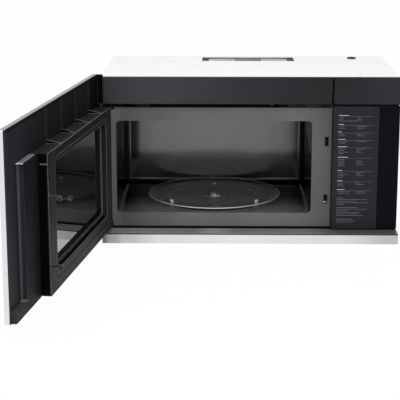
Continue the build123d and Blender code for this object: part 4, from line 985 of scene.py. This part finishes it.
# Painted light and shade on the door's backing moulding: painted shade under the silver band's edge, beside the
# column and on its face; painted light inside the finger pocket, on the column's top and on the foot; painted
# highlights on the pocket's edges and the column's top end.
BACKING_PAINTED_LIGHT_PATCHES = (
    Patch(PAINTED_SHADE_BLACK, ((Along.UP, 427, 432.6), (Along.DOOR, -20, 742), (Along.DOOR_OUT, 10, 17.4)), 2, 0.9),
    Patch((24, 25, 28), ((Along.DOOR, 681, 693), (Along.UP, 62, 352), (Along.DOOR_OUT, 13, 18)), 3, 0.8),
    Patch((22, 23, 27), ((Along.DOOR, 571, 679), (Along.UP, 34, 352), (Along.DOOR_OUT, 2, 14)), 0.6),
    Patch((52, 53, 56), (COLUMN_END, COLUMN_RISE, (Along.DOOR_OUT, 3.8, 15.4)), 0.6),
    Patch((66, 67, 71), ((Along.DOOR, 678.6, 683), COLUMN_RISE, (Along.DOOR_OUT, 2, 5)), 1.4),
    Patch((78, 79, 83), (COLUMN_END, COLUMN_RISE, (Along.DOOR_OUT, 12.6, 15.4)), 0.8),
    Patch((118, 119, 122), ((Along.UP, 352.2, 354), (Along.DOOR, 590, 690), COLUMN_OUT), 0.6),
    Patch((205, 205, 208), ((Along.DOOR, 676, 683), (Along.UP, 351, 354), COLUMN_OUT), 0.6),
    Patch((140, 141, 144), (COLUMN_END, (Along.UP, 60, 63.4), COLUMN_OUT), 0.6),
    Patch((60, 61, 65), ((Along.UP, 59.4, 61), (Along.DOOR, 683.4, 750)), 0.6),
    Patch((54, 55, 58), ((Along.DOOR, 745, 750), (Along.UP, 34, 60.4), (Along.DOOR_OUT, 2, 15)), 0.8),
)
# Painted shade: the top edge of the door's silver band made grey.
SILVER_PAINTED_SHADE = (Patch((138, 138, 143), ((Along.UP, 432.6, 440), (Along.DOOR, -20, 750)), 0.6),)
# Painted highlight: the tray's rim paler and less clear, strongest at its front and back.
TRAY_PAINTED_HIGHLIGHT = (Patch((225, 226, 228), ((Along.TABLE, 176, 183),), 1, clear=0.2, fade=RIM_PAINTED_HIGHLIGHT_FADE),)

# In the finishes below, the edge level paints a highlight on the edges, and the fades and patches are painted
# light and shade.
GALVANISED = Finish("galvanised_sheet", "galvanised", Grain.GALVANISED, (238, 239, 241), 0.4, 0.35, variation=0.03)
BASE_STEEL = replace(GALVANISED, name="base_pan_sheet", painted_light_patches=(LIP_PAINTED_SHADE,))
FACE_GREY = Finish(
    "face_grey_paint", "face_grey", Grain.SATIN_PAINT, (100, 100, 100), 0.5,
    edge=0.5 * MM, painted_glint=0.18, painted_light_fades=(PLATE_PAINTED_LIGHT, PLATE_LOW_PAINTED_LIGHT),
)
OVEN_ENAMEL = Finish(
    "oven_enamel", "oven_enamel", Grain.ENAMEL, (110, 110, 110), 0.13, 0.85, 1.5 * MM, 0.04,
    painted_light_fades=(OVEN_PAINTED_REFLECTION,), painted_light_patches=OVEN_PAINTED_LIGHT_PATCHES,
)
TRIM_SATIN = Finish(
    "trim_satin_blue_grey", "trim_satin", Grain.SATIN_PAINT, (63, 64, 68), 0.45,
    edge=0.8 * MM, painted_glint=0.09, specular=0.07, painted_light_fades=(TRIM_PAINTED_LIGHT,),
)
PANEL_DARK = Finish(
    "side_panel_gloss", "panel_dark", Grain.SATIN_PAINT, (14, 15, 19), 0.4,
    edge=0.8 * MM, painted_glint=0.08, specular=0.03,
)
LABEL_FILM = Finish(
    "guide_label_film", "label_film", Grain.SATIN_PAINT, (40, 41, 46), 0.5, edge=0.1 * MM, specular=0.06
)
LABEL_INK = Finish("guide_ink_grey", "label_film", Grain.PRINT, (116, 117, 121), 0.6, edge=0.0)
LABEL_INK_BOLD = Finish("guide_ink_light", "label_film", Grain.PRINT, (178, 179, 183), 0.6, edge=0.0)
BEZEL_BRUSHED = Finish(
    "bezel_brushed_steel", "bezel_brushed", Grain.BRUSHED_ACROSS, (236, 236, 237), 0.22, 1.0,
    painted_light_fades=(BEZEL_PAINTED_REFLECTION,), painted_light_patches=LEDGE_PAINTED_LIGHT_PATCHES,
)
DOOR_SILVER = Finish(
    "door_silver_band", "door_silver", Grain.BRUSHED_DOOR, (229, 229, 233), 0.3, 1.0,
    variation=0.04, painted_light_patches=SILVER_PAINTED_SHADE,
)
DOOR_PLASTIC = Finish(
    "door_moulding_black", "door_plastic", Grain.MOULDED, (37, 38, 42), 0.5,
    edge=1.0 * MM, painted_glint=0.17, specular=0.03, painted_light_fades=(DOOR_PAINTED_LIGHT,), painted_light_patches=BACKING_PAINTED_LIGHT_PATCHES,
)
FRAME_BLACK = Finish(
    "inner_frame_paint", "frame_black", Grain.SATIN_PAINT, (42, 43, 47), 0.5,
    edge=1.5 * MM, painted_glint=0.44, specular=0.03, painted_light_fades=(FRAME_PAINTED_LIGHT,), painted_light_patches=FRAME_PAINTED_SHADE_PATCHES,
)
CHOKE_BLACK = Finish(
    "choke_cover_black", "door_plastic", Grain.MOULDED, (38, 39, 43), 0.5,
    edge=0.8 * MM, painted_glint=0.2, specular=0.03, painted_light_fades=(FRAME_PAINTED_LIGHT,), painted_light_patches=(RECESS_PAINTED_SHADE,),
)
GLASS_BLACK = Finish(
    "door_glass_black", "glass_black", Grain.DOOR_GLASS, (12, 12, 14), 0.06, edge=0.5 * MM, specular=0.12
)
WINDOW_GLASS = Finish(
    "window_glass_tinted", "glass_clear", Grain.DARK_GLASS, (10, 10, 12), 0.02, edge=0.2 * MM, specular=0.8
)
TRAY_GLASS = Finish(
    "tray_glass", "glass_clear", Grain.CLEAR_GLASS, (246, 249, 252), 0.0,
    edge=0.4 * MM, specular=0.5, ior=1.12, painted_light_patches=TRAY_PAINTED_HIGHLIGHT,
)
FRIT_BLACK = Finish("window_border_black", "glass_clear", Grain.PRINT, (8, 8, 9), 0.5, edge=0.0, specular=0.02)
SCREEN_BLACK = Finish("window_screen_black", "screen_black", Grain.PERFORATED, (30, 30, 32), 0.5)
ZINC_STEEL = Finish("zinc_plated_steel", "zinc_steel", Grain.CAST, (190, 190, 192), 0.35, 1.0, 0.3 * MM)
PIN_BLACK = Finish("hinge_pin_black", "zinc_steel", Grain.CAST, (40, 40, 42), 0.4, 0.5, 0.3 * MM)
BRACKET_BLACK = Finish(
    "hinge_bracket_black", "bracket_black", Grain.SATIN_PAINT, (12, 12, 14), 0.5, painted_glint=0.08, specular=0.04
)
RING_PLASTIC = Finish("turntable_plastic", "ring_plastic", Grain.MOULDED, (48, 48, 49), 0.42, edge=0.4 * MM)
ROLLER_WHITE = Finish(
    "roller_plastic", "ring_plastic", Grain.MOULDED, (250, 250, 248), 0.2, edge=0.4 * MM, specular=0.6
)
LEVER_PLASTIC = Finish("latch_plastic", "ring_plastic", Grain.MOULDED, (48, 49, 52), 0.4, edge=0.8 * MM, painted_glint=0.4)
MOTOR_METAL = Finish("motor_can_steel", "motor_metal", Grain.CAST, (180, 180, 182), 0.38, 1.0)
MAGNETRON_ALLOY = Finish("magnetron_alloy", "magnetron_alloy", Grain.CAST, (200, 200, 204), 0.3, 1.0)
CORE_IRON = Finish("transformer_iron", "core_iron", Grain.LAMINATED, (70, 62, 56), 0.5, 0.3)
CAN_ALLOY = Finish("capacitor_can", "can_alloy", Grain.CAST, (195, 197, 200), 0.3, 1.0)
BOARD_GREEN = Finish("circuit_board_green", "board_green", Grain.BOARD, (30, 96, 52), 0.4)
FAN_GREY = Finish("fan_plastic_grey", "fan_grey", Grain.MOULDED, (70, 71, 74), 0.5)
BRACKET_WHITE = Finish("interlock_plastic_white", "bracket_white", Grain.MOULDED, (215, 215, 210), 0.45)
FILTER_MESH = Finish("grease_filter_mesh", "filter_mesh", Grain.KNITTED, (190, 192, 195), 0.35, 0.9)
CHARCOAL = Finish("charcoal_filter_black", "charcoal", Grain.PELLETS, (26, 26, 26), 0.8)
LENS_CLEAR = Finish("lamp_lens_frosted", "lens_clear", Grain.MOULDED, (226, 226, 218), 0.3)
LAMP_WHITE = Finish("lamp_holder_white", "lamp_white", Grain.MOULDED, (225, 225, 218), 0.5)
GROMMET_RUBBER = Finish("grommet_rubber", "grommet_rubber", Grain.MOULDED, (24, 24, 24), 0.7)
MICA = Finish("mica_sheet", "mica", Grain.SATIN_PAINT, (60, 58, 54), 0.45)

FINISHED_NODES: tuple[tuple[Finish, str], ...] = (
    (GALVANISED, "outer_wrapper rear_panel waveguide exhaust_blower_housing"),
    (BASE_STEEL, "base_pan"),
    (ZINC_STEEL, "wrapper_screws door_screws latch_spring blower_shaft"),
    (FILTER_MESH, "grease_filter_left grease_filter_right"),
    (LENS_CLEAR, "lamp_lenses"),
    (LAMP_WHITE, "cooktop_lamps cavity_lamp"),
    (FACE_GREY, "front_plate"),
    (BRACKET_BLACK, "hinge_screws hinge_bracket_upper hinge_bracket_lower"),
    (TRIM_SATIN, "top_trim_left top_trim_right"),
    (BEZEL_BRUSHED, "bottom_bezel"),
    (PANEL_DARK, "side_panel"),
    (LABEL_FILM, "guide_label"),
    (OVEN_ENAMEL, "cavity_shell"),
    (MICA, "waveguide_cover"),
    (TRAY_GLASS, "glass_tray"),
    (RING_PLASTIC, "roller_ring"),
    (ROLLER_WHITE, "roller_front_left roller_front_right roller_back drive_coupler"),
    (MOTOR_METAL, "turntable_motor cooling_fan_motor blower_motor"),
    (DOOR_SILVER, "door_skin"),
    (GLASS_BLACK, "door_front_glass"),
    (DOOR_PLASTIC, "door_backing"),
    (FRAME_BLACK, "door_inner_frame"),
    (CHOKE_BLACK, "choke_cover"),
    (WINDOW_GLASS, "window_inner_pane"),
    (SCREEN_BLACK, "window_screen"),
    (BOARD_GREEN, "touch_board line_filter_board"),
    (PIN_BLACK, "hinge_pins"),
    (LEVER_PLASTIC, "latch_lever"),
    (BRACKET_WHITE, "interlock_frame"),
    (FAN_GREY, "interlock_switches cooling_fan_shroud cooling_fan_blade blower_wheel_left blower_wheel_right"),
    (MAGNETRON_ALLOY, "magnetron"),
    (CORE_IRON, "hv_transformer"),
    (CAN_ALLOY, "hv_capacitor"),
    (CHARCOAL, "charcoal_filter"),
    (GROMMET_RUBBER, "cable_inlet"),
)


def add_bar(maker: bmesh.types.BMesh, centre: Vector, size: Vector) -> None:
    """Adds a thin bar to a bmesh.

    Args:
        maker: the bmesh.
        centre: the bar's middle.
        size: the bar's full size.
    """
    matrix = Matrix.Translation(centre) @ Matrix.Diagonal((*size, 1.0))
    bmesh.ops.create_cube(maker, size=1.0, matrix=matrix)


def add_block(maker: bmesh.types.BMesh, low: Vector, high: Vector, rounding: float) -> None:
    """Adds a block with rounded edges to a bmesh.

    Args:
        maker: the bmesh.
        low: the block's lowest corner.
        high: its highest corner.
        rounding: the radius of its edges.
    """
    known = set(maker.edges)
    add_bar(maker, (low + high) / 2, high - low)
    bmesh.ops.bevel(
        maker,
        geom=[edge for edge in maker.edges if edge not in known],
        offset=rounding,
        offset_type="OFFSET",
        affect="EDGES",
        segments=2,
        profile=0.5,
        material=-1,
    )


def new_piece(name: str, maker: bmesh.types.BMesh) -> bpy.types.Object:
    """Turns a bmesh into an object at the origin.

    Args:
        name: the piece's name.
        maker: the bmesh, which is freed.

    Returns:
        The object.
    """
    mesh = bpy.data.meshes.new(name)
    maker.to_mesh(mesh)
    maker.free()
    piece = bpy.data.objects.new(name, mesh)
    bpy.context.scene.collection.objects.link(piece)
    return piece


class FinishBook:
    """Builds each finish once, and paints pieces with it."""

    def __init__(self, axes: Axes) -> None:
        """Keeps the object's directions for the finishes that follow them."""
        self.axes = axes
        self.made: dict[str, bpy.types.Material] = {}

    def paint(self, piece: bpy.types.Object, finish: Finish) -> None:
        """Paints a piece all over with one finish, built on its first use.

        Args:
            piece: the piece.
            finish: the finish.
        """
        if finish.name not in self.made:
            self.made[finish.name] = finish.material(self.axes)
        piece.data.materials.clear()
        piece.data.materials.append(self.made[finish.name])

    def paint_nodes(self, nodes: dict[str, bpy.types.Object]) -> None:
        """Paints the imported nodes.

        Args:
            nodes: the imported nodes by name.
        """
        finishes = {name: finish for finish, names in FINISHED_NODES for name in names.split()}
        for name, piece in nodes.items():
            self.paint(piece, finishes[name])
            LOG.info("painted %s", name)

    def fit(self, name: str, maker: bmesh.types.BMesh, finish: Finish, body: str) -> None:
        """Turns a bmesh into a painted piece that rides on a body.

        Args:
            name: the piece's name.
            maker: the bmesh, which is freed.
            finish: the piece's finish.
            body: the body's name.
        """
        piece = new_piece(name, maker)
        self.paint(piece, finish)
        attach(piece, body)
        LOG.info("built %s", name)

    def fit_door(self, name: str, maker: bmesh.types.BMesh, finish: Finish) -> None:
        """Moves a bmesh from door millimetres to its place, and fits it to the door.

        Args:
            name: the piece's name.
            maker: the bmesh, which is freed.
            finish: the piece's finish.
        """
        bmesh.ops.transform(maker, matrix=self.axes.matrix(), verts=maker.verts)
        bmesh.ops.recalc_face_normals(maker, faces=maker.faces)
        self.fit(name, maker, finish, "door")


@dataclass(frozen=True)
class GuideGroup:
    """One group of the printed guide: a heading with a rule, and greeked lines in one or two columns."""

    top: float
    heading: float
    lines: tuple[tuple[float, float], ...]
    ruled: bool = True


@dataclass
class GuidePrint:
    """The guide label's print, as bare bars and rules that say nothing. Millimetres."""

    left: float = 223.5
    right: float = 313.0
    second_column: float = 271.0
    indent: float = 2.0
    line_pitch: float = 4.2
    line_height: float = 1.0
    first_line: float = 1.35
    heading_height: float = 1.7
    rule_height: float = 0.45
    rule_gap: float = 1.5
    rule_drop: float = 2.6
    shortest_word: float = 2.0
    longest_word: float = 6.5
    word_gap: float = 0.9
    least_end: float = 1.0
    ink: float = 0.08
    seed: int = 7

    groups: tuple[GuideGroup, ...] = (
        GuideGroup(328.8, 26, ((11, 11), (12, 10), (55, 0))),
        GuideGroup(305.8, 14, ((13, 23), (17, 20))),
        GuideGroup(286.2, 9, ((13, 13), (17, 22))),
        GuideGroup(266.9, 19, ((23, 24), (17, 0))),
        GuideGroup(247.8, 23, ((17, 24), (15, 12), (26, 14), (13, 0))),
        GuideGroup(220.4, 26, ((16, 0), (13, 19), (16, 14), (14, 20), (17, 0))),
        GuideGroup(185.9, 12, ((13, 22), (25, 13), (17, 20), (12, 0))),
        GuideGroup(158.5, 14, ((17, 9), (15, 21), (16, 0))),
        GuideGroup(135.3, 20, ((32, 26), (30, 25))),
        GuideGroup(113.1, 17, ((79, 0), (50, 0), (79, 0), (18, 0)), False),
        GuideGroup(87.5, 55, ((79, 0), (30, 0), (61, 0), (55, 0), (70, 0)), False),
        GuideGroup(57.0, 40, ((49, 0), (43, 0)), False),
    )

    def bar(
        self, maker: bmesh.types.BMesh, start: float, length: float, z: float, height: float, face: float
    ) -> None:
        """Adds one bar of ink.

        Args:
            maker: the bmesh.
            start: the bar's left end.
            length: its length.
            z: the height of its middle.
            height: its own height.
            face: the Y of the label's face.
        """
        centre = Vector((start + length / 2, face - self.ink / 2, z)) * MM
        add_bar(maker, centre, Vector((length, self.ink, height)) * MM)

    def words(
        self, maker: bmesh.types.BMesh, start: float, width: float, z: float, face: float, dice: random.Random
    ) -> None:
        """Adds one greeked line as a run of short bars.

        Args:
            maker: the bmesh.
            start: the line's left end.
            width: the line's length.
            z: its height.
            face: the Y of the label's face.
            dice: the seeded dice for the bars' lengths.
        """
        x = start
        while x < start + width - self.least_end:
            length = min(dice.uniform(self.shortest_word, self.longest_word), start + width - x)
            self.bar(maker, x, length, z, self.line_height, face)
            x += length + self.word_gap

    def build(self, face: float, book: FinishBook) -> None:
        """Builds the print on the label's face.

        Args:
            face: the Y of the label's face, in millimetres.
            book: the finishes.
        """
        dice = random.Random(self.seed)
        lines, headings = bmesh.new(), bmesh.new()
        for group in self.groups:
            bold, height, indent, first_line = lines, self.line_height, 0.0, 1.0
            if group.ruled:
                bold, height, indent, first_line = headings, self.heading_height, self.indent, self.first_line
            self.bar(bold, self.left, group.heading, group.top, height, face)
            if group.ruled:
                start = self.left + group.heading + self.rule_gap
                self.bar(lines, start, self.right - start, group.top - self.rule_drop, self.rule_height, face)
            for index, (first, second) in enumerate(group.lines):
                z = group.top - self.line_pitch * (index + first_line)
                self.words(lines, self.left + indent, first, z, face, dice)
                if second > 0:
                    self.words(lines, self.second_column, second, z, face, dice)
        book.fit("guide_print", lines, LABEL_INK, "cabinet")
        book.fit("guide_headings", headings, LABEL_INK_BOLD, "cabinet")


@dataclass
class WindowBorder:
    """The black border printed on the door's inner pane. Door millimetres."""

    left: float = 48.0
    right: float = 514.0
    bottom: float = 80.0
    top: float = 322.0
    side_band: float = 9.0
    bottom_band: float = 22.0
    pane_face: float = -3.0
    film: float = 0.1
    clearance: float = 0.4

    def build(self, book: FinishBook) -> None:
        """Builds the border on the pane's inner face.

        Args:
            book: the finishes.
        """
        maker = bmesh.new()
        middle = (self.bottom + self.top) / 2
        centre = (self.left + self.right) / 2
        width = self.right - self.left - self.clearance
        height = self.top - self.bottom - self.clearance
        out = self.pane_face - self.film / 2
        bars = (
            (centre, self.bottom + self.bottom_band / 2, width, self.bottom_band),
            (centre, self.top - self.side_band / 2, width, self.side_band),
            (self.left + self.side_band / 2, middle, self.side_band, height),
            (self.right - self.side_band / 2, middle, self.side_band, height),
        )
        for x, z, wide, high in bars:
            add_bar(maker, Vector((x, z, out)), Vector((wide, high, self.film)))
        book.fit_door("window_border", maker, FRIT_BLACK)


@dataclass
class HingeShoulder:
    """The door moulding's small shoulder beside the upper hinge arm. Door millimetres: along, up, out."""

    low: tuple[float, float, float] = (-5.9, 351.2, 7.5)
    high: tuple[float, float, float] = (10.0, 361.0, 17.3)
    rounding: float = 0.8

    def build(self, book: FinishBook) -> None:
        """Builds the shoulder.

        Args:
            book: the finishes.
        """
        maker = bmesh.new()
        add_block(maker, Vector(self.low), Vector(self.high), self.rounding)
        book.fit_door("hinge_shoulder", maker, DOOR_PLASTIC)


@dataclass
class HingeCovers:
    """The thin black covers over the hinge brackets' ends, on the front plate's left corners. Millimetres."""

    plate_face: float = -196.0
    thickness: float = 1.3
    rounding: float = 0.5
    upper: tuple[tuple[float, float, float, float], ...] = (
        (-374.0, -360.0, 341.5, 356.4),
        (-361.0, -347.0, 341.5, 346.2),
        (-361.0, -349.0, 352.0, 356.4),
    )
    lower: tuple[tuple[float, float, float, float], ...] = (
        (-367.0, -353.5, 35.2, 49.0),
        (-372.0, -357.0, 35.2, 41.0),
    )

    def build(self, book: FinishBook) -> None:
        """Builds both covers.

        Args:
            book: the finishes.
        """
        for name, blocks in (("hinge_cover_upper", self.upper), ("hinge_cover_lower", self.lower)):
            maker = bmesh.new()
            for left, right, bottom, top in blocks:
                low = Vector((left, self.plate_face - self.thickness, bottom)) * MM
                high = Vector((right, self.plate_face, top)) * MM
                add_block(maker, low, high, self.rounding * MM)
            bmesh.ops.recalc_face_normals(maker, faces=maker.faces)
            book.fit(name, maker, BRACKET_BLACK, "cabinet")


@dataclass(frozen=True)
class Softbox:
    """A soft rectangular lamp: its place, its width and height in metres, and its power in watts."""

    name: str
    place: Vector
    size: tuple[float, float]
    power: float

    def hang(self, aim: Vector) -> None:
        """Hangs the lamp.

        Args:
            aim: the point that it faces.
        """
        data = bpy.data.lights.new(self.name, "AREA")
        data.shape = "RECTANGLE"
        data.size, data.size_y = self.size
        data.energy = self.power
        lamp = bpy.data.objects.new(self.name, data)
        lamp.location = self.place
        lamp.rotation_euler = (aim - self.place).to_track_quat("-Z", "Y").to_euler()
        bpy.context.scene.collection.objects.link(lamp)


@dataclass
class Studio:
    """The camera, the lamps, the floor and the white surroundings. Metres."""

    camera_place: tuple[float, float, float] = (-0.0830, -3.3412, 0.8984)
    pitch_degrees: float = 13.263
    yaw_degrees: float = -0.833
    focal_pixels: float = 1252.0
    picture_pixels: float = 400.0
    sensor_mm: float = 36.0
    shift_y: float = -0.05
    clip_end: float = 60.0
    fill: float = 0.5
    floor_size: float = 14.0
    floor_drop: float = 0.0006
    floor_shade: float = 0.95
    floor_glow: float = 0.97
    lamp_aim: tuple[float, float, float] = (0.0, -0.2, 0.2)
    lamps: tuple[Softbox, ...] = (
        Softbox("key_softbox", Vector((-0.5, -1.9, 3.1)), (3.0, 2.0), 80.0),
        Softbox("right_softbox", Vector((3.0, -1.2, 2.4)), (1.2, 1.8), 14.0),
    )

    def camera(self) -> None:
        """Sets the camera as the photograph's was, but pitched down and with its shift kept small."""
        data = bpy.data.cameras.new("camera")
        data.sensor_width = self.sensor_mm
        data.lens = self.focal_pixels * self.sensor_mm / self.picture_pixels
        data.shift_y = self.shift_y
        data.clip_end = self.clip_end
        camera = bpy.data.objects.new("camera", data)
        camera.location = self.camera_place
        tilt = math.radians(90.0 - self.pitch_degrees)
        camera.rotation_euler = Euler((tilt, 0.0, -math.radians(self.yaw_degrees)), "XYZ")
        bpy.context.scene.collection.objects.link(camera)
        bpy.context.scene.camera = camera

    def white_world(self) -> None:
        """Makes the surroundings white to the eye and in reflections, and a plain fill for the light."""
        world = bpy.data.worlds.new("surroundings")
        world.use_nodes = True
        bpy.context.scene.world = world
        nodes = Nodes(world.node_tree)
        seen = nodes.seen_by("Is Camera Ray", "Is Transmission Ray", "Is Glossy Ray")
        fill = nodes.light("ShaderNodeBackground", self.fill)
        white = nodes.light("ShaderNodeBackground", 1.0)
        nodes.mix_shaders(seen, fill, white, nodes.add("ShaderNodeOutputWorld").inputs["Surface"])

    def floor(self) -> None:
        """Lays a wide pale floor that keeps the object's shadow."""
        maker = bmesh.new()
        drop = Matrix.Translation((0.0, 0.0, -self.floor_drop))
        bmesh.ops.create_grid(maker, x_segments=1, y_segments=1, size=self.floor_size, matrix=drop)
        piece = new_piece("floor", maker)
        graph = Graph("floor_pale")
        graph.set(Base_Color=(self.floor_shade,) * 3, Roughness=0.8, Specular_IOR_Level=0.0)
        share = graph.math("MULTIPLY", graph.seen_by("Is Camera Ray", "Is Glossy Ray"), self.floor_glow)
        glow = graph.light("ShaderNodeEmission", 1.0)
        graph.mix_shaders(share, graph.shader.outputs["BSDF"], glow, graph.output.inputs["Surface"])
        piece.data.materials.append(graph.material)

    def build(self) -> None:
        """Builds the whole studio."""
        self.camera()
        self.white_world()
        self.floor()
        for lamp in self.lamps:
            lamp.hang(Vector(self.lamp_aim))


def main() -> None:
    """Builds the classes in order and reports each piece."""
    logging.basicConfig(level=logging.INFO, format="%(name)s: %(message)s")
    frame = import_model()
    bpy.context.scene.view_settings.view_transform = "Standard"
    Studio().build()
    joints = {joint["name"]: joint for joint in frame["joints"]}
    hinge, table = joints["door_hinge"], joints["tray_spin"]
    axes = Axes(Vector(hinge["pos_m"]), math.radians(hinge["range_deg"][1]), Vector(table["pos_m"]))
    book = FinishBook(axes)
    book.paint_nodes(frame["nodes"])
    label_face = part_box("guide_label")[0].y / MM
    GuidePrint().build(label_face, book)
    for part in (WindowBorder(), HingeShoulder(), HingeCovers()):
        part.build(book)


if __name__ == "__main__":
    main()
